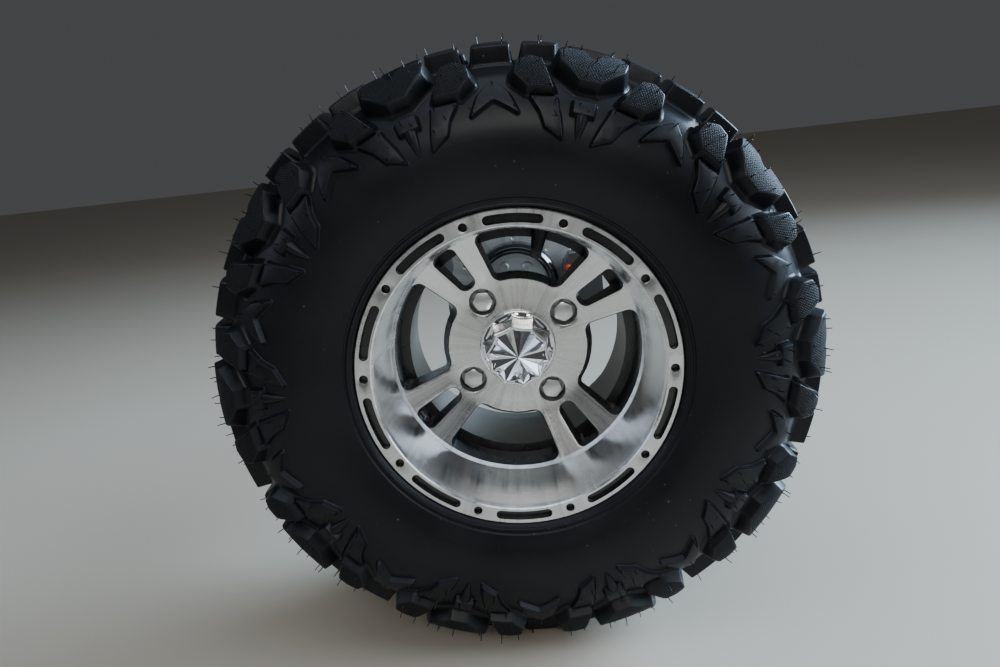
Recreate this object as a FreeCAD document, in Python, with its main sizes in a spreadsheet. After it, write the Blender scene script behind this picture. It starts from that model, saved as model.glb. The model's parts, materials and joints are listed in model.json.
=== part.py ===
import FreeCAD
import Part
import math
import os
import re
import Sketcher

Vector = FreeCAD.Vector

# Driving sizes: alias, value in millimetres (degrees for angles, plain counts), what it sizes
SIZES = [
    ("tyre_diameter", 558.8, "tyre over the tread lugs"),
    ("tyre_width", 254, "tyre over the sidewalls"),
    ("tread_depth", 17, "tread lug height at the crown"),
    ("tyre_wall", 9, "carcass thickness"),
    ("ring_flats", 30, "flats round the tyre, three to a tread pitch"),
    ("bead_flats", 24, "flats round the tyre's beads and lower sidewalls"),
    ("cavity_flats", 16, "flats round the tyre's air space"),
    ("bead_radius", 126.2, "bead seat"),
    ("bead_fit", 0.3, "clearance between tyre and rim"),
    ("bead_length", 13, "bead base along the axle"),
    ("pitch_count", 10, "tread pitches round the tyre"),
    ("tyre_clock", 12.3, "angle of a tread pitch from the wheel's own zero"),
    ("rim_width", 227, "rim over its flanges"),
    ("ring_radius", 143, "rim flange and outer ring"),
    ("flange_depth", 9, "flange thickness"),
    ("dish_mouth_radius", 128.5, "dish where it leaves the ring"),
    ("dish_floor_radius", 119.5, "dish where it meets the face"),
    ("face_rim_depth", 70, "face below the ring at the dish"),
    ("face_hub_depth", 86, "face below the ring at the hub"),
    ("face_flat_radius", 67, "flat middle of the face"),
    ("barrel_wall", 5.3, "barrel thickness"),
    ("well_radius", 105, "inside of the drop centre"),
    ("well_start", 97, "drop centre's outboard end below the ring"),
    ("well_end", 160, "drop centre's inboard end below the ring"),
    ("hub_pad_depth", 108, "rim's mounting pad below the ring"),
    ("hub_pad_radius", 66, "rim's mounting pad"),
    ("centre_bore_radius", 33, "rim's centre bore"),
    ("window_count", 4, "large windows, and as many slots between them"),
    ("window_inner_radius", 67.5, "large window's inner edge"),
    ("window_outer_radius", 116.3, "windows' outer edge"),
    ("window_inner_half", 25.4, "large window's half width in degrees at its inner edge"),
    ("window_outer_half", 28, "large window's half width in degrees at its outer edge"),
    ("window_corner", 9, "large window's corner radius"),
    ("slot_inner_radius", 73, "diagonal slot's inner end"),
    ("slot_inner_width", 14.5, "diagonal slot's width at its inner end"),
    ("slot_outer_width", 22.5, "diagonal slot's width at its outer end"),
    ("ring_feature_count", 10, "pockets and holes round the ring"),
    ("ring_feature_radius", 135.1, "pitch circle of the ring's pockets and holes"),
    ("ring_pocket_length", 52, "ring pocket end to end"),
    ("ring_pocket_width", 9, "ring pocket"),
    ("ring_feature_depth", 5.5, "ring pockets and holes"),
    ("ring_hole_radius", 3.75, "ring hole"),
    ("ring_clock", 9.5, "angle of a ring hole from the wheel's own zero"),
    ("lug_count", 4, "wheel nuts and studs"),
    ("lug_circle", 110, "pitch circle diameter of the wheel studs"),
    ("lug_pocket_radius", 13.2, "pocket round a wheel nut"),
    ("lug_pocket_depth", 12, "pocket below the face"),
    ("stud_radius", 5, "wheel stud"),
    ("stud_fit", 0.05, "clearance of nuts and flange on the studs"),
    ("nut_across_flats", 17, "wheel nut"),
    ("nut_top_below_face", 1.5, "wheel nut's dome below the face"),
    ("nut_shank_radius", 8, "wheel nut's shank in the rim"),
    ("nut_shank_length", 9, "wheel nut's shank in the rim"),
    ("nut_chamfer", 3, "wheel nut's sloping end"),
    ("nut_fit", 0.2, "clearance round a wheel nut's shank"),
    ("cap_radius", 36.5, "centre cap's base"),
    ("cap_flange", 2.5, "centre cap's base thickness"),
    ("cap_height", 36, "centre cap above the face"),
    ("cap_boss_base", 34.5, "centre cap's boss at its base"),
    ("cap_boss_top", 29.5, "centre cap's boss at its top"),
    ("cap_scallops", 10, "hollows round the boss"),
    ("cap_recess", 5, "hollow in the cap's end round its crown"),
    ("valve_angle", 87, "valve's angle in the wheel"),
    ("valve_depth", 83, "valve below the ring"),
    ("valve_hole_radius", 5.7, "valve hole"),
    ("valve_length", 28, "valve inside the wheel's window"),
    ("hub_flange_radius", 66, "wheel hub's flange"),
    ("hub_flange_thick", 10, "wheel hub's flange"),
    ("hub_barrel_radius", 31, "wheel hub's barrel"),
    ("hub_length", 58, "wheel hub from its face to its inboard end"),
    ("axle_radius", 20, "axle in its bearings"),
    ("axle_seat_radius", 16, "axle's splined seats for the hubs"),
    ("axle_thread_radius", 11, "axle's threaded ends"),
    ("axle_thread_length", 26, "axle's threaded ends"),
    ("axle_fit", 0.05, "clearance of what slides on the axle"),
    ("spline_count", 24, "splines on each axle seat"),
    ("ring_offset", 500, "ring plane from the carrier's middle"),
    ("carrier_length", 190, "bearing carrier along the axle"),
    ("carrier_radius", 46, "bearing carrier's barrel"),
    ("carrier_bore_radius", 25, "bearing carrier between its bearings"),
    ("bearing_outer_radius", 34, "bearing"),
    ("bearing_width", 15, "bearing"),
    ("bearing_fit", 0.03, "running clearance of the axle in the bearings"),
    ("pad_reach", 95, "carrier's bolted face from the axle"),
    ("pad_thick", 15, "carrier's bolted plate"),
    ("pad_width", 156, "carrier's bolted plate along the axle"),
    ("pad_height", 104, "carrier's bolted plate"),
    ("pad_spacing_y", 124, "bolt spacing along the axle"),
    ("pad_spacing_z", 72, "bolt spacing up and down"),
    ("pad_hole_radius", 6.5, "bolt hole"),
    ("disc_offset", 118, "brake disc's middle plane from the carrier's middle"),
    ("disc_thick", 4, "brake disc"),
    ("disc_radius", 92, "brake disc over its petals"),
    ("disc_valley", 83, "brake disc between its petals"),
    ("disc_petals", 8, "petals round the disc"),
    ("disc_bore_radius", 38, "brake disc's bore"),
    ("disc_hub_radius", 56, "disc hub's cup"),
    ("disc_hub_inner", 43, "disc hub's cup inside"),
    ("disc_hub_depth", 24, "disc hub's cup along the axle"),
    ("disc_hub_thick", 8, "disc hub's flange"),
    ("plate_thick", 5, "plate inside the disc hub"),
    ("plate_bolt_circle", 58, "pitch circle diameter of the plate's bolts"),
    ("plate_bolts", 6, "bolts through the plate"),
    ("plate_bolt_radius", 5.8, "plate bolt's head over its corners"),
    ("plate_bolt_head", 4.5, "plate bolt's head"),
    ("caliper_gap", 5, "caliper clear of the disc's rim and faces"),
    ("caliper_height", 76, "caliper up and down"),
    ("caliper_thick", 22, "caliper's piston side along the axle"),
    ("bracket_thick", 8, "caliper bracket"),
    ("pad_face_gap", 0.4, "brake pads clear of the disc"),
    ("spin_clock", 13.2, "wheel's turn at rest, clockwise from outside"),
]
VALUE = {alias: value for alias, value, meaning in SIZES}

doc = FreeCAD.newDocument("rear_wheel")
sheet = doc.addObject("Spreadsheet::Sheet", "Sizes")
for row, (alias, value, meaning) in enumerate(SIZES, start=1):
    sheet.set(f"A{row}", alias.replace("_", " "))
    sheet.set(f"B{row}", str(value))
    sheet.set(f"C{row}", meaning)
    sheet.setAlias(f"B{row}", alias)
doc.recompute()

sub_parts = []


# Expressions and placements
def on_sheet(text):
    """Write plain aliases as references to the sheet."""
    def reference(word):
        alias = word.group(0)
        return "Sizes." + alias if alias in VALUE else alias

    return re.sub(r"[a-z][a-z_0-9]*", reference, str(text))


def number(text):
    """Value of an expression of aliases."""
    return float(sheet.evalExpression(on_sheet(text)))


def bind(item, property_name, text):
    """Tie a property to an expression of aliases."""
    item.setExpression(property_name, on_sheet(text))


def origin_part(body, role):
    """Plane or axis of a body's own origin."""
    for feature in body.Origin.OriginFeatures:
        if feature.Role == role:
            return feature
    raise ValueError(role)


def stand(item, x="0", y="0", z="0", turn=None):
    """Place an item by expressions, turned about the axle by degrees."""
    if turn is not None:
        item.Placement.Rotation = FreeCAD.Rotation(Vector(0, 1, 0), turn)
    for axis, text in (("x", x), ("y", y), ("z", z)):
        bind(item, "Placement.Base." + axis, text)
    sub_parts.append(item)


def new_body(label, x="0", y="0", z="0", turn=None):
    """Body of one sub-part at its place."""
    body = doc.addObject("PartDesign::Body", label)
    body.Label = label
    stand(body, x, y, z, turn)
    return body


def wheel_body(label):
    """Body in the wheel's own frame: origin on the ring's plane, +Y inboard."""
    return new_body(label, x="pad_reach", y="-ring_offset", turn=number("spin_clock"))


# Sketches
def new_sketch(body, name, role="XY_Plane", lift="0", turn=0, turn_axis=Vector(0, 1, 0)):
    """Sketch on one of the body's own planes, lifted along its normal."""
    sketch = body.newObject("Sketcher::SketchObject", name)
    sketch.AttachmentSupport = (origin_part(body, role), [""])
    sketch.MapMode = "FlatFace"
    if turn:
        spin = FreeCAD.Rotation(turn_axis, turn)
        reach = spin.multVec(Vector(0, 0, number(lift)))
        sketch.AttachmentOffset = FreeCAD.Placement(reach, spin)
    else:
        bind(sketch, "AttachmentOffset.Base.z", lift)
    return sketch


def outline(sketch, points):
    """Closed outline through points whose coordinates are expressions."""
    corners = [Vector(number(x), number(y), 0) for x, y in points]
    first = sketch.GeometryCount
    for index, corner in enumerate(corners):
        end = corners[(index + 1) % len(corners)]
        sketch.addGeometry(Part.LineSegment(corner, end), False)
    for index, (x, y) in enumerate(points):
        edge = first + index
        following = first + (index + 1) % len(points)
        sketch.addConstraint(Sketcher.Constraint("Coincident", edge, 2, following, 1))
        for kind, text in (("DistanceX", x), ("DistanceY", y)):
            where = sketch.addConstraint(Sketcher.Constraint(kind, edge, 1, number(text)))
            bind(sketch, f"Constraints[{where}]", text)
    return sketch


def circle(sketch, x, y, radius):
    """Circle whose centre and radius are expressions."""
    ring = Part.Circle(Vector(number(x), number(y), 0), Vector(0, 0, 1), number(radius))
    index = sketch.addGeometry(ring, False)
    for kind, text in (("DistanceX", x), ("DistanceY", y)):
        where = sketch.addConstraint(Sketcher.Constraint(kind, index, 3, number(text)))
        bind(sketch, f"Constraints[{where}]", text)
    where = sketch.addConstraint(Sketcher.Constraint("Radius", index, number(radius)))
    bind(sketch, f"Constraints[{where}]", radius)
    return index


def polar(radius, degrees):
    """Expressions for a point at a radius and an angle in a sketch."""
    return (f"({radius}) * cos(({degrees}) * 1deg)", f"({radius}) * sin(({degrees}) * 1deg)")


# Features
def revolve(body, sketch, name):
    """Full turn of a sketch about its own upright axis."""
    feature = body.newObject("PartDesign::Revolution", name)
    feature.Profile = sketch
    feature.ReferenceAxis = (sketch, ["V_Axis"])
    feature.Angle = 360
    body.Tip = feature
    return feature


def pad(body, sketch, name, length, reverse=False, middle=False):
    """Pad of a sketch."""
    feature = body.newObject("PartDesign::Pad", name)
    feature.Profile = sketch
    bind(feature, "Length", length)
    feature.Reversed = reverse
    feature.Midplane = middle
    body.Tip = feature
    return feature


def pocket(body, sketch, name, length, reverse=False, middle=False):
    """Pocket of a sketch, checked to take material away."""
    before = body.Shape.Volume if body.Shape and not body.Shape.isNull() else 0
    feature = body.newObject("PartDesign::Pocket", name)
    feature.Profile = sketch
    bind(feature, "Length", length)
    feature.Reversed = reverse
    feature.Midplane = middle
    body.Tip = feature
    doc.recompute()
    if before and feature.Shape.Volume >= before:
        raise RuntimeError(name + " cuts nothing")
    return feature


def round_pattern(body, features, name, count, axis="Y_Axis"):
    """Copies of features round an axis of the body's origin."""
    feature = body.newObject("PartDesign::PolarPattern", name)
    feature.Originals = features
    feature.Axis = (origin_part(body, axis), [""])
    feature.Angle = 360
    bind(feature, "Occurrences", count)
    body.Tip = feature
    return feature


# Lofts and booleans
def ring_loft(label, rows, flats, clock, by_flats=False):
    """Loft through regular polygons: rows of radius and distance outboard of the rim's middle plane.

    The radius is over the corners, or over the flats where by_flats is set.
    """
    rings = []
    for index, (radius, reach) in enumerate(rows):
        ring = doc.addObject("Part::RegularPolygon", f"{label}_ring_{index + 1}")
        bind(ring, "Polygon", flats)
        bind(ring, "Circumradius", f"({radius}) / cos(180deg / {flats})" if by_flats else radius)
        upright = FreeCAD.Rotation(Vector(1, 0, 0), 90)
        ring.Placement.Rotation = upright.multiply(FreeCAD.Rotation(Vector(0, 0, 1), number(clock)))
        bind(ring, "Placement.Base.y", f"rim_width / 2 - ({reach})")
        rings.append(ring)
    solid = doc.addObject("Part::Loft", label)
    solid.Sections = rings
    return ruled(solid)


def ruled(solid):
    """Straight-sided solid loft whose flat faces are planes."""
    solid.Solid = True
    solid.Ruled = True
    solid.Linearize = True
    return solid


def both_sides(rows):
    """Rows of radius and reach from the outboard side across to the inboard one."""
    return rows + [(radius, f"-({reach})") for radius, reach in reversed(rows)]


def join(kind, label, base, tool):
    """Boolean of two solids."""
    feature = doc.addObject(kind, label)
    feature.Base = base
    feature.Tool = tool
    doc.recompute()
    return feature


# Rim: one casting turned from the ring to the inboard flange, its face a shallow bowl
def make_rim():
    rim = wheel_body("rim")
    profile = new_sketch(rim, "rim_profile")
    flange = "bead_radius + barrel_wall"
    inboard = "rim_width - flange_depth"
    well = "well_radius + barrel_wall"
    outline(profile, [
        ("dish_mouth_radius", "0"),
        ("ring_radius", "0"),
        ("ring_radius", "flange_depth - 1.5"),
        (flange, "flange_depth"),
        ("bead_radius", "flange_depth + 4"),
        ("bead_radius", "well_start + 6"),
        (well, "well_start + 6"),
        (well, "well_end + 8"),
        ("bead_radius", "well_end + 8"),
        ("bead_radius", inboard + " - 4"),
        (flange, inboard),
        ("ring_radius", inboard + " + 1.5"),
        ("ring_radius", "rim_width"),
        ("bead_radius - barrel_wall", "rim_width"),
        ("bead_radius - barrel_wall", "well_end + 8 + barrel_wall"),
        ("well_radius", "well_end + 8 + barrel_wall"),
        ("well_radius", "well_start - 1"),
        ("hub_pad_radius", "well_start - 1"),
        ("hub_pad_radius", "hub_pad_depth"),
        ("centre_bore_radius", "hub_pad_depth"),
        ("centre_bore_radius", "face_hub_depth"),
        ("face_flat_radius", "face_hub_depth"),
        ("dish_floor_radius - 3", "face_rim_depth"),
        ("dish_floor_radius", "face_rim_depth - 4"),
        ("dish_floor_radius + 2.5", "face_rim_depth / 2"),
        ("dish_mouth_radius - 2", "6"),
    ])
    revolve(rim, profile, "rim_turned")
    doc.recompute()

    window = new_sketch(rim, "window_outline", "XZ_Plane", "-(face_rim_depth - 12)")
    start, end = "90 - window_inner_half", "90 + window_inner_half"
    outer_start, outer_end = "90 - window_outer_half", "90 + window_outer_half"
    sector(window, "window_inner_radius", start, end, "window_outer_radius", outer_start, outer_end)
    cut = pocket(rim, window, "window", "well_start - face_rim_depth + 12")
    windows = round_pattern(rim, [cut], "windows", "window_count")

    slot = new_sketch(rim, "slot_outline", "XZ_Plane", "-(face_rim_depth - 12)", turn=-45,
                      turn_axis=Vector(0, 0, 1))
    half_in, half_out = "slot_inner_width / 2", "slot_outer_width / 2"
    outline(slot, [
        ("-(" + half_in + ")", "slot_inner_radius + slot_inner_width * 0.4"),
        ("-(" + half_in + ") * 0.5", "slot_inner_radius"),
        ("(" + half_in + ") * 0.5", "slot_inner_radius"),
        (half_in, "slot_inner_radius + slot_inner_width * 0.4"),
        (half_out, "window_outer_radius - 6"),
        ("(" + half_out + ") * 0.6", "window_outer_radius"),
        ("-(" + half_out + ") * 0.6", "window_outer_radius"),
        ("-(" + half_out + ")", "window_outer_radius - 6"),
    ])
    slot_cut = pocket(rim, slot, "slot", "well_start - face_rim_depth + 12")
    round_pattern(rim, [slot_cut], "slots", "window_count")
    doc.recompute()

    ring_pocket = new_sketch(rim, "ring_pocket_outline", "XZ_Plane", "0")
    middle = "ring_clock + 180 / ring_feature_count"
    to_degrees = "/ 2 / ring_feature_radius * 180 / 3.14159265"
    half_turn = f"(ring_pocket_length - ring_pocket_width) {to_degrees}"
    low, high = "ring_feature_radius - ring_pocket_width / 2", "ring_feature_radius + ring_pocket_width / 2"
    stadium(ring_pocket, low, high, middle, half_turn, f"ring_pocket_length {to_degrees}")
    ring_cut = pocket(rim, ring_pocket, "ring_pocket", "ring_feature_depth")
    round_pattern(rim, [ring_cut], "ring_pockets", "ring_feature_count")
    hole = new_sketch(rim, "ring_hole_outline", "XZ_Plane", "0")
    circle(hole, *polar("ring_feature_radius", "ring_clock"), "ring_hole_radius")
    hole_cut = pocket(rim, hole, "ring_hole", "ring_feature_depth")
    round_pattern(rim, [hole_cut], "ring_holes", "ring_feature_count")
    doc.recompute()

    lug_angle = "180 / lug_count"
    lug = new_sketch(rim, "lug_pocket_outline", "XZ_Plane", "-(face_hub_depth - 4)")
    circle(lug, *polar("lug_circle / 2", lug_angle), "lug_pocket_radius")
    lug_cut = pocket(rim, lug, "lug_pocket", "lug_pocket_depth + 4")
    round_pattern(rim, [lug_cut], "lug_pockets", "lug_count")
    bore = new_sketch(rim, "lug_bore_outline", "XZ_Plane", "-face_hub_depth")
    circle(bore, *polar("lug_circle / 2", lug_angle), "nut_shank_radius + nut_fit")
    bore_cut = pocket(rim, bore, "lug_bore", "hub_pad_depth - face_hub_depth")
    round_pattern(rim, [bore_cut], "lug_bores", "lug_count")

    valve = new_sketch(rim, "valve_hole_outline", "XY_Plane", "window_outer_radius - 2",
                       turn=90 - number("valve_angle"))
    circle(valve, "0", "valve_depth", "valve_hole_radius")
    pocket(rim, valve, "valve_hole", "dish_mouth_radius - window_outer_radius", reverse=True)
    return rim


def sector(sketch, inner, inner_start, inner_end, outer, outer_start, outer_end):
    """Sector between two radii, its corners cut by short chords."""
    rows = []
    corner = "window_corner"
    for radius, begin, end, sense in ((inner, inner_start, inner_end, 1), (outer, outer_start, outer_end, -1)):
        steps = 7
        names = [f"({begin}) + (({end}) - ({begin})) * {step / (steps - 1):.4f}" for step in range(steps)]
        shift = [f" + {corner} * 0.9" if step in (0, steps - 1) else "" for step in range(steps)]
        if sense < 0:
            names.reverse()
            shift = [item.replace("+", "-") for item in shift]
        for angle, move in zip(names, shift):
            rows.append(polar(radius + move, angle))
    outline(sketch, rows)


def stadium(sketch, low, high, middle, half_turn, reach):
    """Curved slot between two radii, straight to a half turn each way and with blunt ends out to a reach."""
    rows = []
    mid = f"(({low}) + ({high})) / 2"
    steps = (-1, -0.5, 0, 0.5, 1)
    for step in steps:
        rows.append(polar(low, f"({middle}) + ({half_turn}) * {step}"))
    rows.append(polar(mid, f"({middle}) + {reach}"))
    for step in reversed(steps):
        rows.append(polar(high, f"({middle}) + ({half_turn}) * {step}"))
    rows.append(polar(mid, f"({middle}) - {reach}"))
    outline(sketch, rows)


# Tyre: a carcass of flat-sided rings in step with the lugs
# Side lugs of one pitch: corners as degrees from the pitch's middle and radius, and how near the middle plane
# the lug runs
SIDE_LUGS = {
    "block": ([(-1.9, 246), (-5.9, 268), (-5.6, 290), (-1.5, 290), (0, 271),
               (1.5, 290), (5.6, 290), (5.9, 268), (1.9, 246)], 76),
    "leading": ([(6.5, 236), (11.6, 236), (14.1, 252), (13.4, 290), (9.3, 290)], 44),
    "trailing": ([(-6.5, 236), (-9.3, 290), (-13.4, 290), (-14.1, 252), (-11.6, 236)], 44),
}

# Crown lugs: degrees from the pitch's middle, whether it has a twin on the other side of the middle plane, and
# corners as distances along the tread and from the middle plane
CROWN_LUGS = {
    "centre": (0, False, [(-24, 22), (16, 14), (24, -22), (-16, -14)]),
    "long_bar": (18, True, [(-17, 98), (17, 98), (13, 14), (-13, 14)]),
}


def make_tyre():
    half = "rim_width / 2"
    heel = half + " - flange_depth - bead_fit"
    bead = "bead_radius + bead_fit"
    crown = "tyre_diameter / 2 - tread_depth"
    side = "tyre_width / 2"
    flat_clock = "tyre_clock + 180 / ring_flats"
    hull = ring_loft("carcass_hull", both_sides([
        ("ring_radius + 49", side),
        (crown + " - 27", side + " - 10"),
        (crown, side + " - 36"),
    ]), "ring_flats", flat_clock)
    tread = doc.addObject("PartDesign::Body", "tread")
    tread.BaseFeature = hull
    doc.recompute()
    pads = []
    for place, sense in (("outboard", 1), ("inboard", -1)):
        edge = f"-(rim_width / 2 - {sense} * (tyre_width / 2 + tread_depth))"
        for name, (corners, reach) in SIDE_LUGS.items():
            lug = new_sketch(tread, f"{place}_{name}_outline", "XZ_Plane", edge)
            outline(lug, [polar(str(radius), f"tyre_clock + {angle}") for angle, radius in corners])
            pads.append(pad(tread, lug, f"{place}_{name}", f"tyre_width / 2 + tread_depth - {reach}",
                            reverse=sense > 0))
    for name, (degrees, twin, corners) in CROWN_LUGS.items():
        turn = 90 - number("tyre_clock") - degrees
        lug = new_sketch(tread, f"{name}_outline", "XY_Plane", "tyre_diameter / 2 + 3", turn=turn)
        for sense in (1, -1) if twin else (1,):
            outline(lug, [(str(along), f"rim_width / 2 + {sense * reach}") for along, reach in corners])
        pads.append(pad(tread, lug, name, "tread_depth + 14", reverse=True))
    round_pattern(tread, pads, "pitches", "pitch_count")
    doc.recompute()

    envelope = ring_loft("tread_envelope", both_sides([
        (crown + " - 24", side + " + 1"),
        (crown + " + 6", side + " - 13"),
        ("tyre_diameter / 2", side + " - 32"),
    ]), "ring_flats", flat_clock)
    bore = ring_loft("bead_bore", both_sides([
        ("ring_radius + 43", side + " + 0.5"),
        ("ring_radius + 3", half + " + 1"),
        ("ring_radius + bead_fit * 3", heel),
        (bead + " + barrel_wall", heel + " - 0.3"),
        (bead, heel + " - 4.4"),
    ]), "bead_flats", flat_clock, by_flats=True)
    air = ring_loft("air_space", both_sides([
        (crown + " - 37", side + " - 17"),
        (crown + " - tyre_wall - 3", side + " - 40"),
    ]), "cavity_flats", flat_clock)
    doc.recompute()
    trimmed = join("Part::Common", "tread_trimmed", tread, envelope)
    hollow = air
    for place, sense in (("outboard", 1), ("inboard", -1)):
        inner, outer = f"{sense} * ({heel} - bead_length)", f"{sense} * ({side})"
        hollow = join("Part::Cut", f"air_{place}", hollow,
                      ring_loft(f"bead_{place}", [("ring_radius + 9", inner), ("ring_radius + 9", outer)],
                                "cavity_flats", flat_clock))
    shell = join("Part::Cut", "tyre_shell", trimmed, hollow)
    tyre = join("Part::Cut", "tyre", shell, bore)
    tyre.Label = "tyre"
    stand(tyre, x="pad_reach", y="-ring_offset", turn=number("spin_clock"))
    return tyre


# Hub, studs and nuts
def make_hub():
    hub = wheel_body("wheel_hub")
    profile = new_sketch(hub, "hub_profile")
    bore = "axle_seat_radius + axle_fit"
    outline(profile, [
        (bore, "hub_pad_depth - 8"),
        ("centre_bore_radius - 0.5", "hub_pad_depth - 8"),
        ("centre_bore_radius - 0.5", "hub_pad_depth"),
        ("hub_flange_radius", "hub_pad_depth"),
        ("hub_flange_radius", "hub_pad_depth + hub_flange_thick"),
        ("hub_barrel_radius", "hub_pad_depth + hub_flange_thick"),
        ("hub_barrel_radius", "hub_pad_depth + hub_length - 8"),
        (bore, "hub_pad_depth + hub_length - 8"),
    ])
    revolve(hub, profile, "hub_turned")
    doc.recompute()
    notch = new_sketch(hub, "flange_notch_outline", "XZ_Plane", "-(hub_pad_depth - 1)")
    circle(notch, *polar("hub_flange_radius + 12", "0"), "26")
    cut = pocket(hub, notch, "flange_notch", "hub_flange_thick + 2")
    round_pattern(hub, [cut], "flange_notches", "lug_count")
    doc.recompute()
    hole = new_sketch(hub, "stud_hole_outline", "XZ_Plane", "-(hub_pad_depth - 1)")
    circle(hole, *polar("lug_circle / 2", "180 / lug_count"), "stud_radius + stud_fit")
    hole_cut = pocket(hub, hole, "stud_hole", "hub_flange_thick + 2")
    round_pattern(hub, [hole_cut], "stud_holes", "lug_count")
    return hub


def at_lug(index):
    """Place of one stud's own axis, with its origin at the ring plane."""
    angle = math.radians(180 / VALUE["lug_count"] + 360 / VALUE["lug_count"] * index - VALUE["spin_clock"])
    return {"x": f"pad_reach + lug_circle / 2 * {math.cos(angle):.9f}", "y": "-ring_offset",
            "z": f"lug_circle / 2 * {math.sin(angle):.9f}", "turn": VALUE["spin_clock"]}


def make_stud(index):
    stud = new_body(f"wheel_stud_{index + 1}", **at_lug(index))
    back = "hub_pad_depth + hub_flange_thick"
    outline(new_sketch(stud, "stud_profile"), [
        ("0", "face_hub_depth + 6"),
        ("stud_radius", "face_hub_depth + 6"),
        ("stud_radius", back),
        ("stud_radius + 3.5", back),
        ("stud_radius + 3.5", back + " + 3.5"),
        ("0", back + " + 3.5"),
    ])
    revolve(stud, stud.Group[-1], "stud")
    return stud


def cylinder(label, radius, start, end):
    """Cylinder about the axle's direction between two depths."""
    item = doc.addObject("Part::Cylinder", label)
    item.Placement.Rotation = FreeCAD.Rotation(Vector(1, 0, 0), -90)
    bind(item, "Radius", radius)
    bind(item, "Height", f"({end}) - ({start})")
    bind(item, "Placement.Base.y", start)
    return item


def make_nut(index):
    name = f"lug_nut_{index + 1}"
    top = "face_hub_depth + nut_top_below_face"
    floor = "face_hub_depth + lug_pocket_depth"
    corner = "nut_across_flats / 2 / cos(30deg)"
    head = ring_loft(name + "_head", [
        (corner, "rim_width / 2 - (" + floor + ")"),
        (corner, "rim_width / 2 - (" + top + " + nut_chamfer)"),
        (corner + " * 0.6", "rim_width / 2 - (" + top + ")"),
    ], "6", "30")
    shank = cylinder(name + "_shank", "nut_shank_radius", floor + " - 1", floor + " + nut_shank_length")
    thread = cylinder(name + "_thread", "stud_radius + stud_fit", "face_hub_depth + 5.5", "hub_pad_depth")
    solid = join("Part::Fuse", name + "_solid", head, shank)
    nut = join("Part::Cut", name, solid, thread)
    stand(nut, **at_lug(index))
    return nut


# Hollow between two points of the cap's boss: share of the way across, and of the full radius
CAP_HOLLOW = ((0, 1), (0.2, 0.955), (0.5, 0.915), (0.8, 0.955))


# Centre cap: a turned base clipped in the bore, and a boss with a hollow between each pair of points
def make_cap():
    base = doc.addObject("PartDesign::Body", "cap_base")
    face = "face_hub_depth"
    outline(new_sketch(base, "cap_profile"), [
        ("0", face + " - cap_flange"),
        ("cap_radius - 1.5", face + " - cap_flange"),
        ("cap_radius", face + " - 1"),
        ("cap_radius", face),
        ("centre_bore_radius - 0.3", face),
        ("centre_bore_radius - 0.3", face + " + 7"),
        ("centre_bore_radius - 3", face + " + 7"),
        ("centre_bore_radius - 3", face + " + 1"),
        ("0", face + " + 1"),
    ])
    revolve(base, base.Group[-1], "cap_turned")
    doc.recompute()
    # Lofts in the order that they are joined: how, radius at the points and depth at each end
    end_depth = face + " - cap_height"
    inside = end_depth + " + cap_recess"
    stages = {
        "boss": ("Part::Fuse", "cap_boss_base", face + " - cap_flange + 0.5", "cap_boss_top", end_depth),
        "recess": ("Part::Cut", "cap_boss_top * 0.88", inside, "cap_boss_top * 0.93", end_depth),
        "crown": ("Part::Fuse", "cap_boss_top * 0.88", inside, "cap_boss_top * 0.06", end_depth + " - 1"),
    }
    cap = base
    for name, (kind, *ends) in stages.items():
        sections = [scalloped(f"cap_{name}_{where}", radius, depth)
                    for where, radius, depth in (("foot", *ends[:2]), ("end", *ends[2:]))]
        solid = doc.addObject("Part::Loft", "cap_" + name)
        solid.Sections = sections
        cap = join(kind, "cap_with_" + name, cap, ruled(solid))
    cap.Label = "centre_cap"
    stand(cap, x="pad_reach", y="-ring_offset", turn=number("spin_clock"))
    return cap


def scalloped(label, radius, depth):
    """Outline with a hollow between each pair of points, at a depth below the ring."""
    sketch = doc.addObject("Sketcher::SketchObject", label)
    sketch.Placement.Rotation = FreeCAD.Rotation(Vector(1, 0, 0), 90)
    bind(sketch, "Placement.Base.y", depth)
    rows = []
    for point in range(VALUE["cap_scallops"]):
        for share, hollow in CAP_HOLLOW:
            rows.append(polar(f"{radius} * {hollow}", f"360 / cap_scallops * {point + share}"))
    return outline(sketch, rows)


# Valve: a rubber stem through the wheel's window wall
def make_valve():
    parts = []
    angle = VALUE["valve_angle"] - VALUE["spin_clock"]
    for label in ("valve_stem", "valve_cap"):
        body = new_body(label, x="pad_reach", y="-ring_offset + valve_depth")
        body.Placement.Rotation = FreeCAD.Rotation(Vector(0, 1, 0), 90 - angle)
        parts.append(body)
    stem, cap = parts
    neck = "valve_hole_radius - 0.1"
    tip = "window_outer_radius - valve_length"
    outline(new_sketch(stem, "stem_profile", "XZ_Plane"), [
        ("0", "bead_radius + 2"),
        ("valve_hole_radius + 2.3", "bead_radius + 2"),
        ("valve_hole_radius + 2.3", "bead_radius + 0.1"),
        (neck, "bead_radius + 0.1"),
        (neck, "window_outer_radius - 1.4"),
        ("valve_hole_radius + 1.9", "window_outer_radius - 1.4"),
        ("valve_hole_radius + 1.9", "window_outer_radius - 5"),
        (neck, "window_outer_radius - 6.5"),
        (neck, tip + " + 8"),
        ("0", tip + " + 8"),
    ])
    revolve(stem, stem.Group[-1], "stem")
    outline(new_sketch(cap, "valve_cap_profile", "XZ_Plane"), [
        ("0", tip + " + 8"),
        ("valve_hole_radius - 0.4", tip + " + 8"),
        ("valve_hole_radius - 0.4", tip + " + 1"),
        ("valve_hole_radius - 1.4", tip),
        ("0", tip),
    ])
    revolve(cap, cap.Group[-1], "valve_cap_turned")
    return parts


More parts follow.
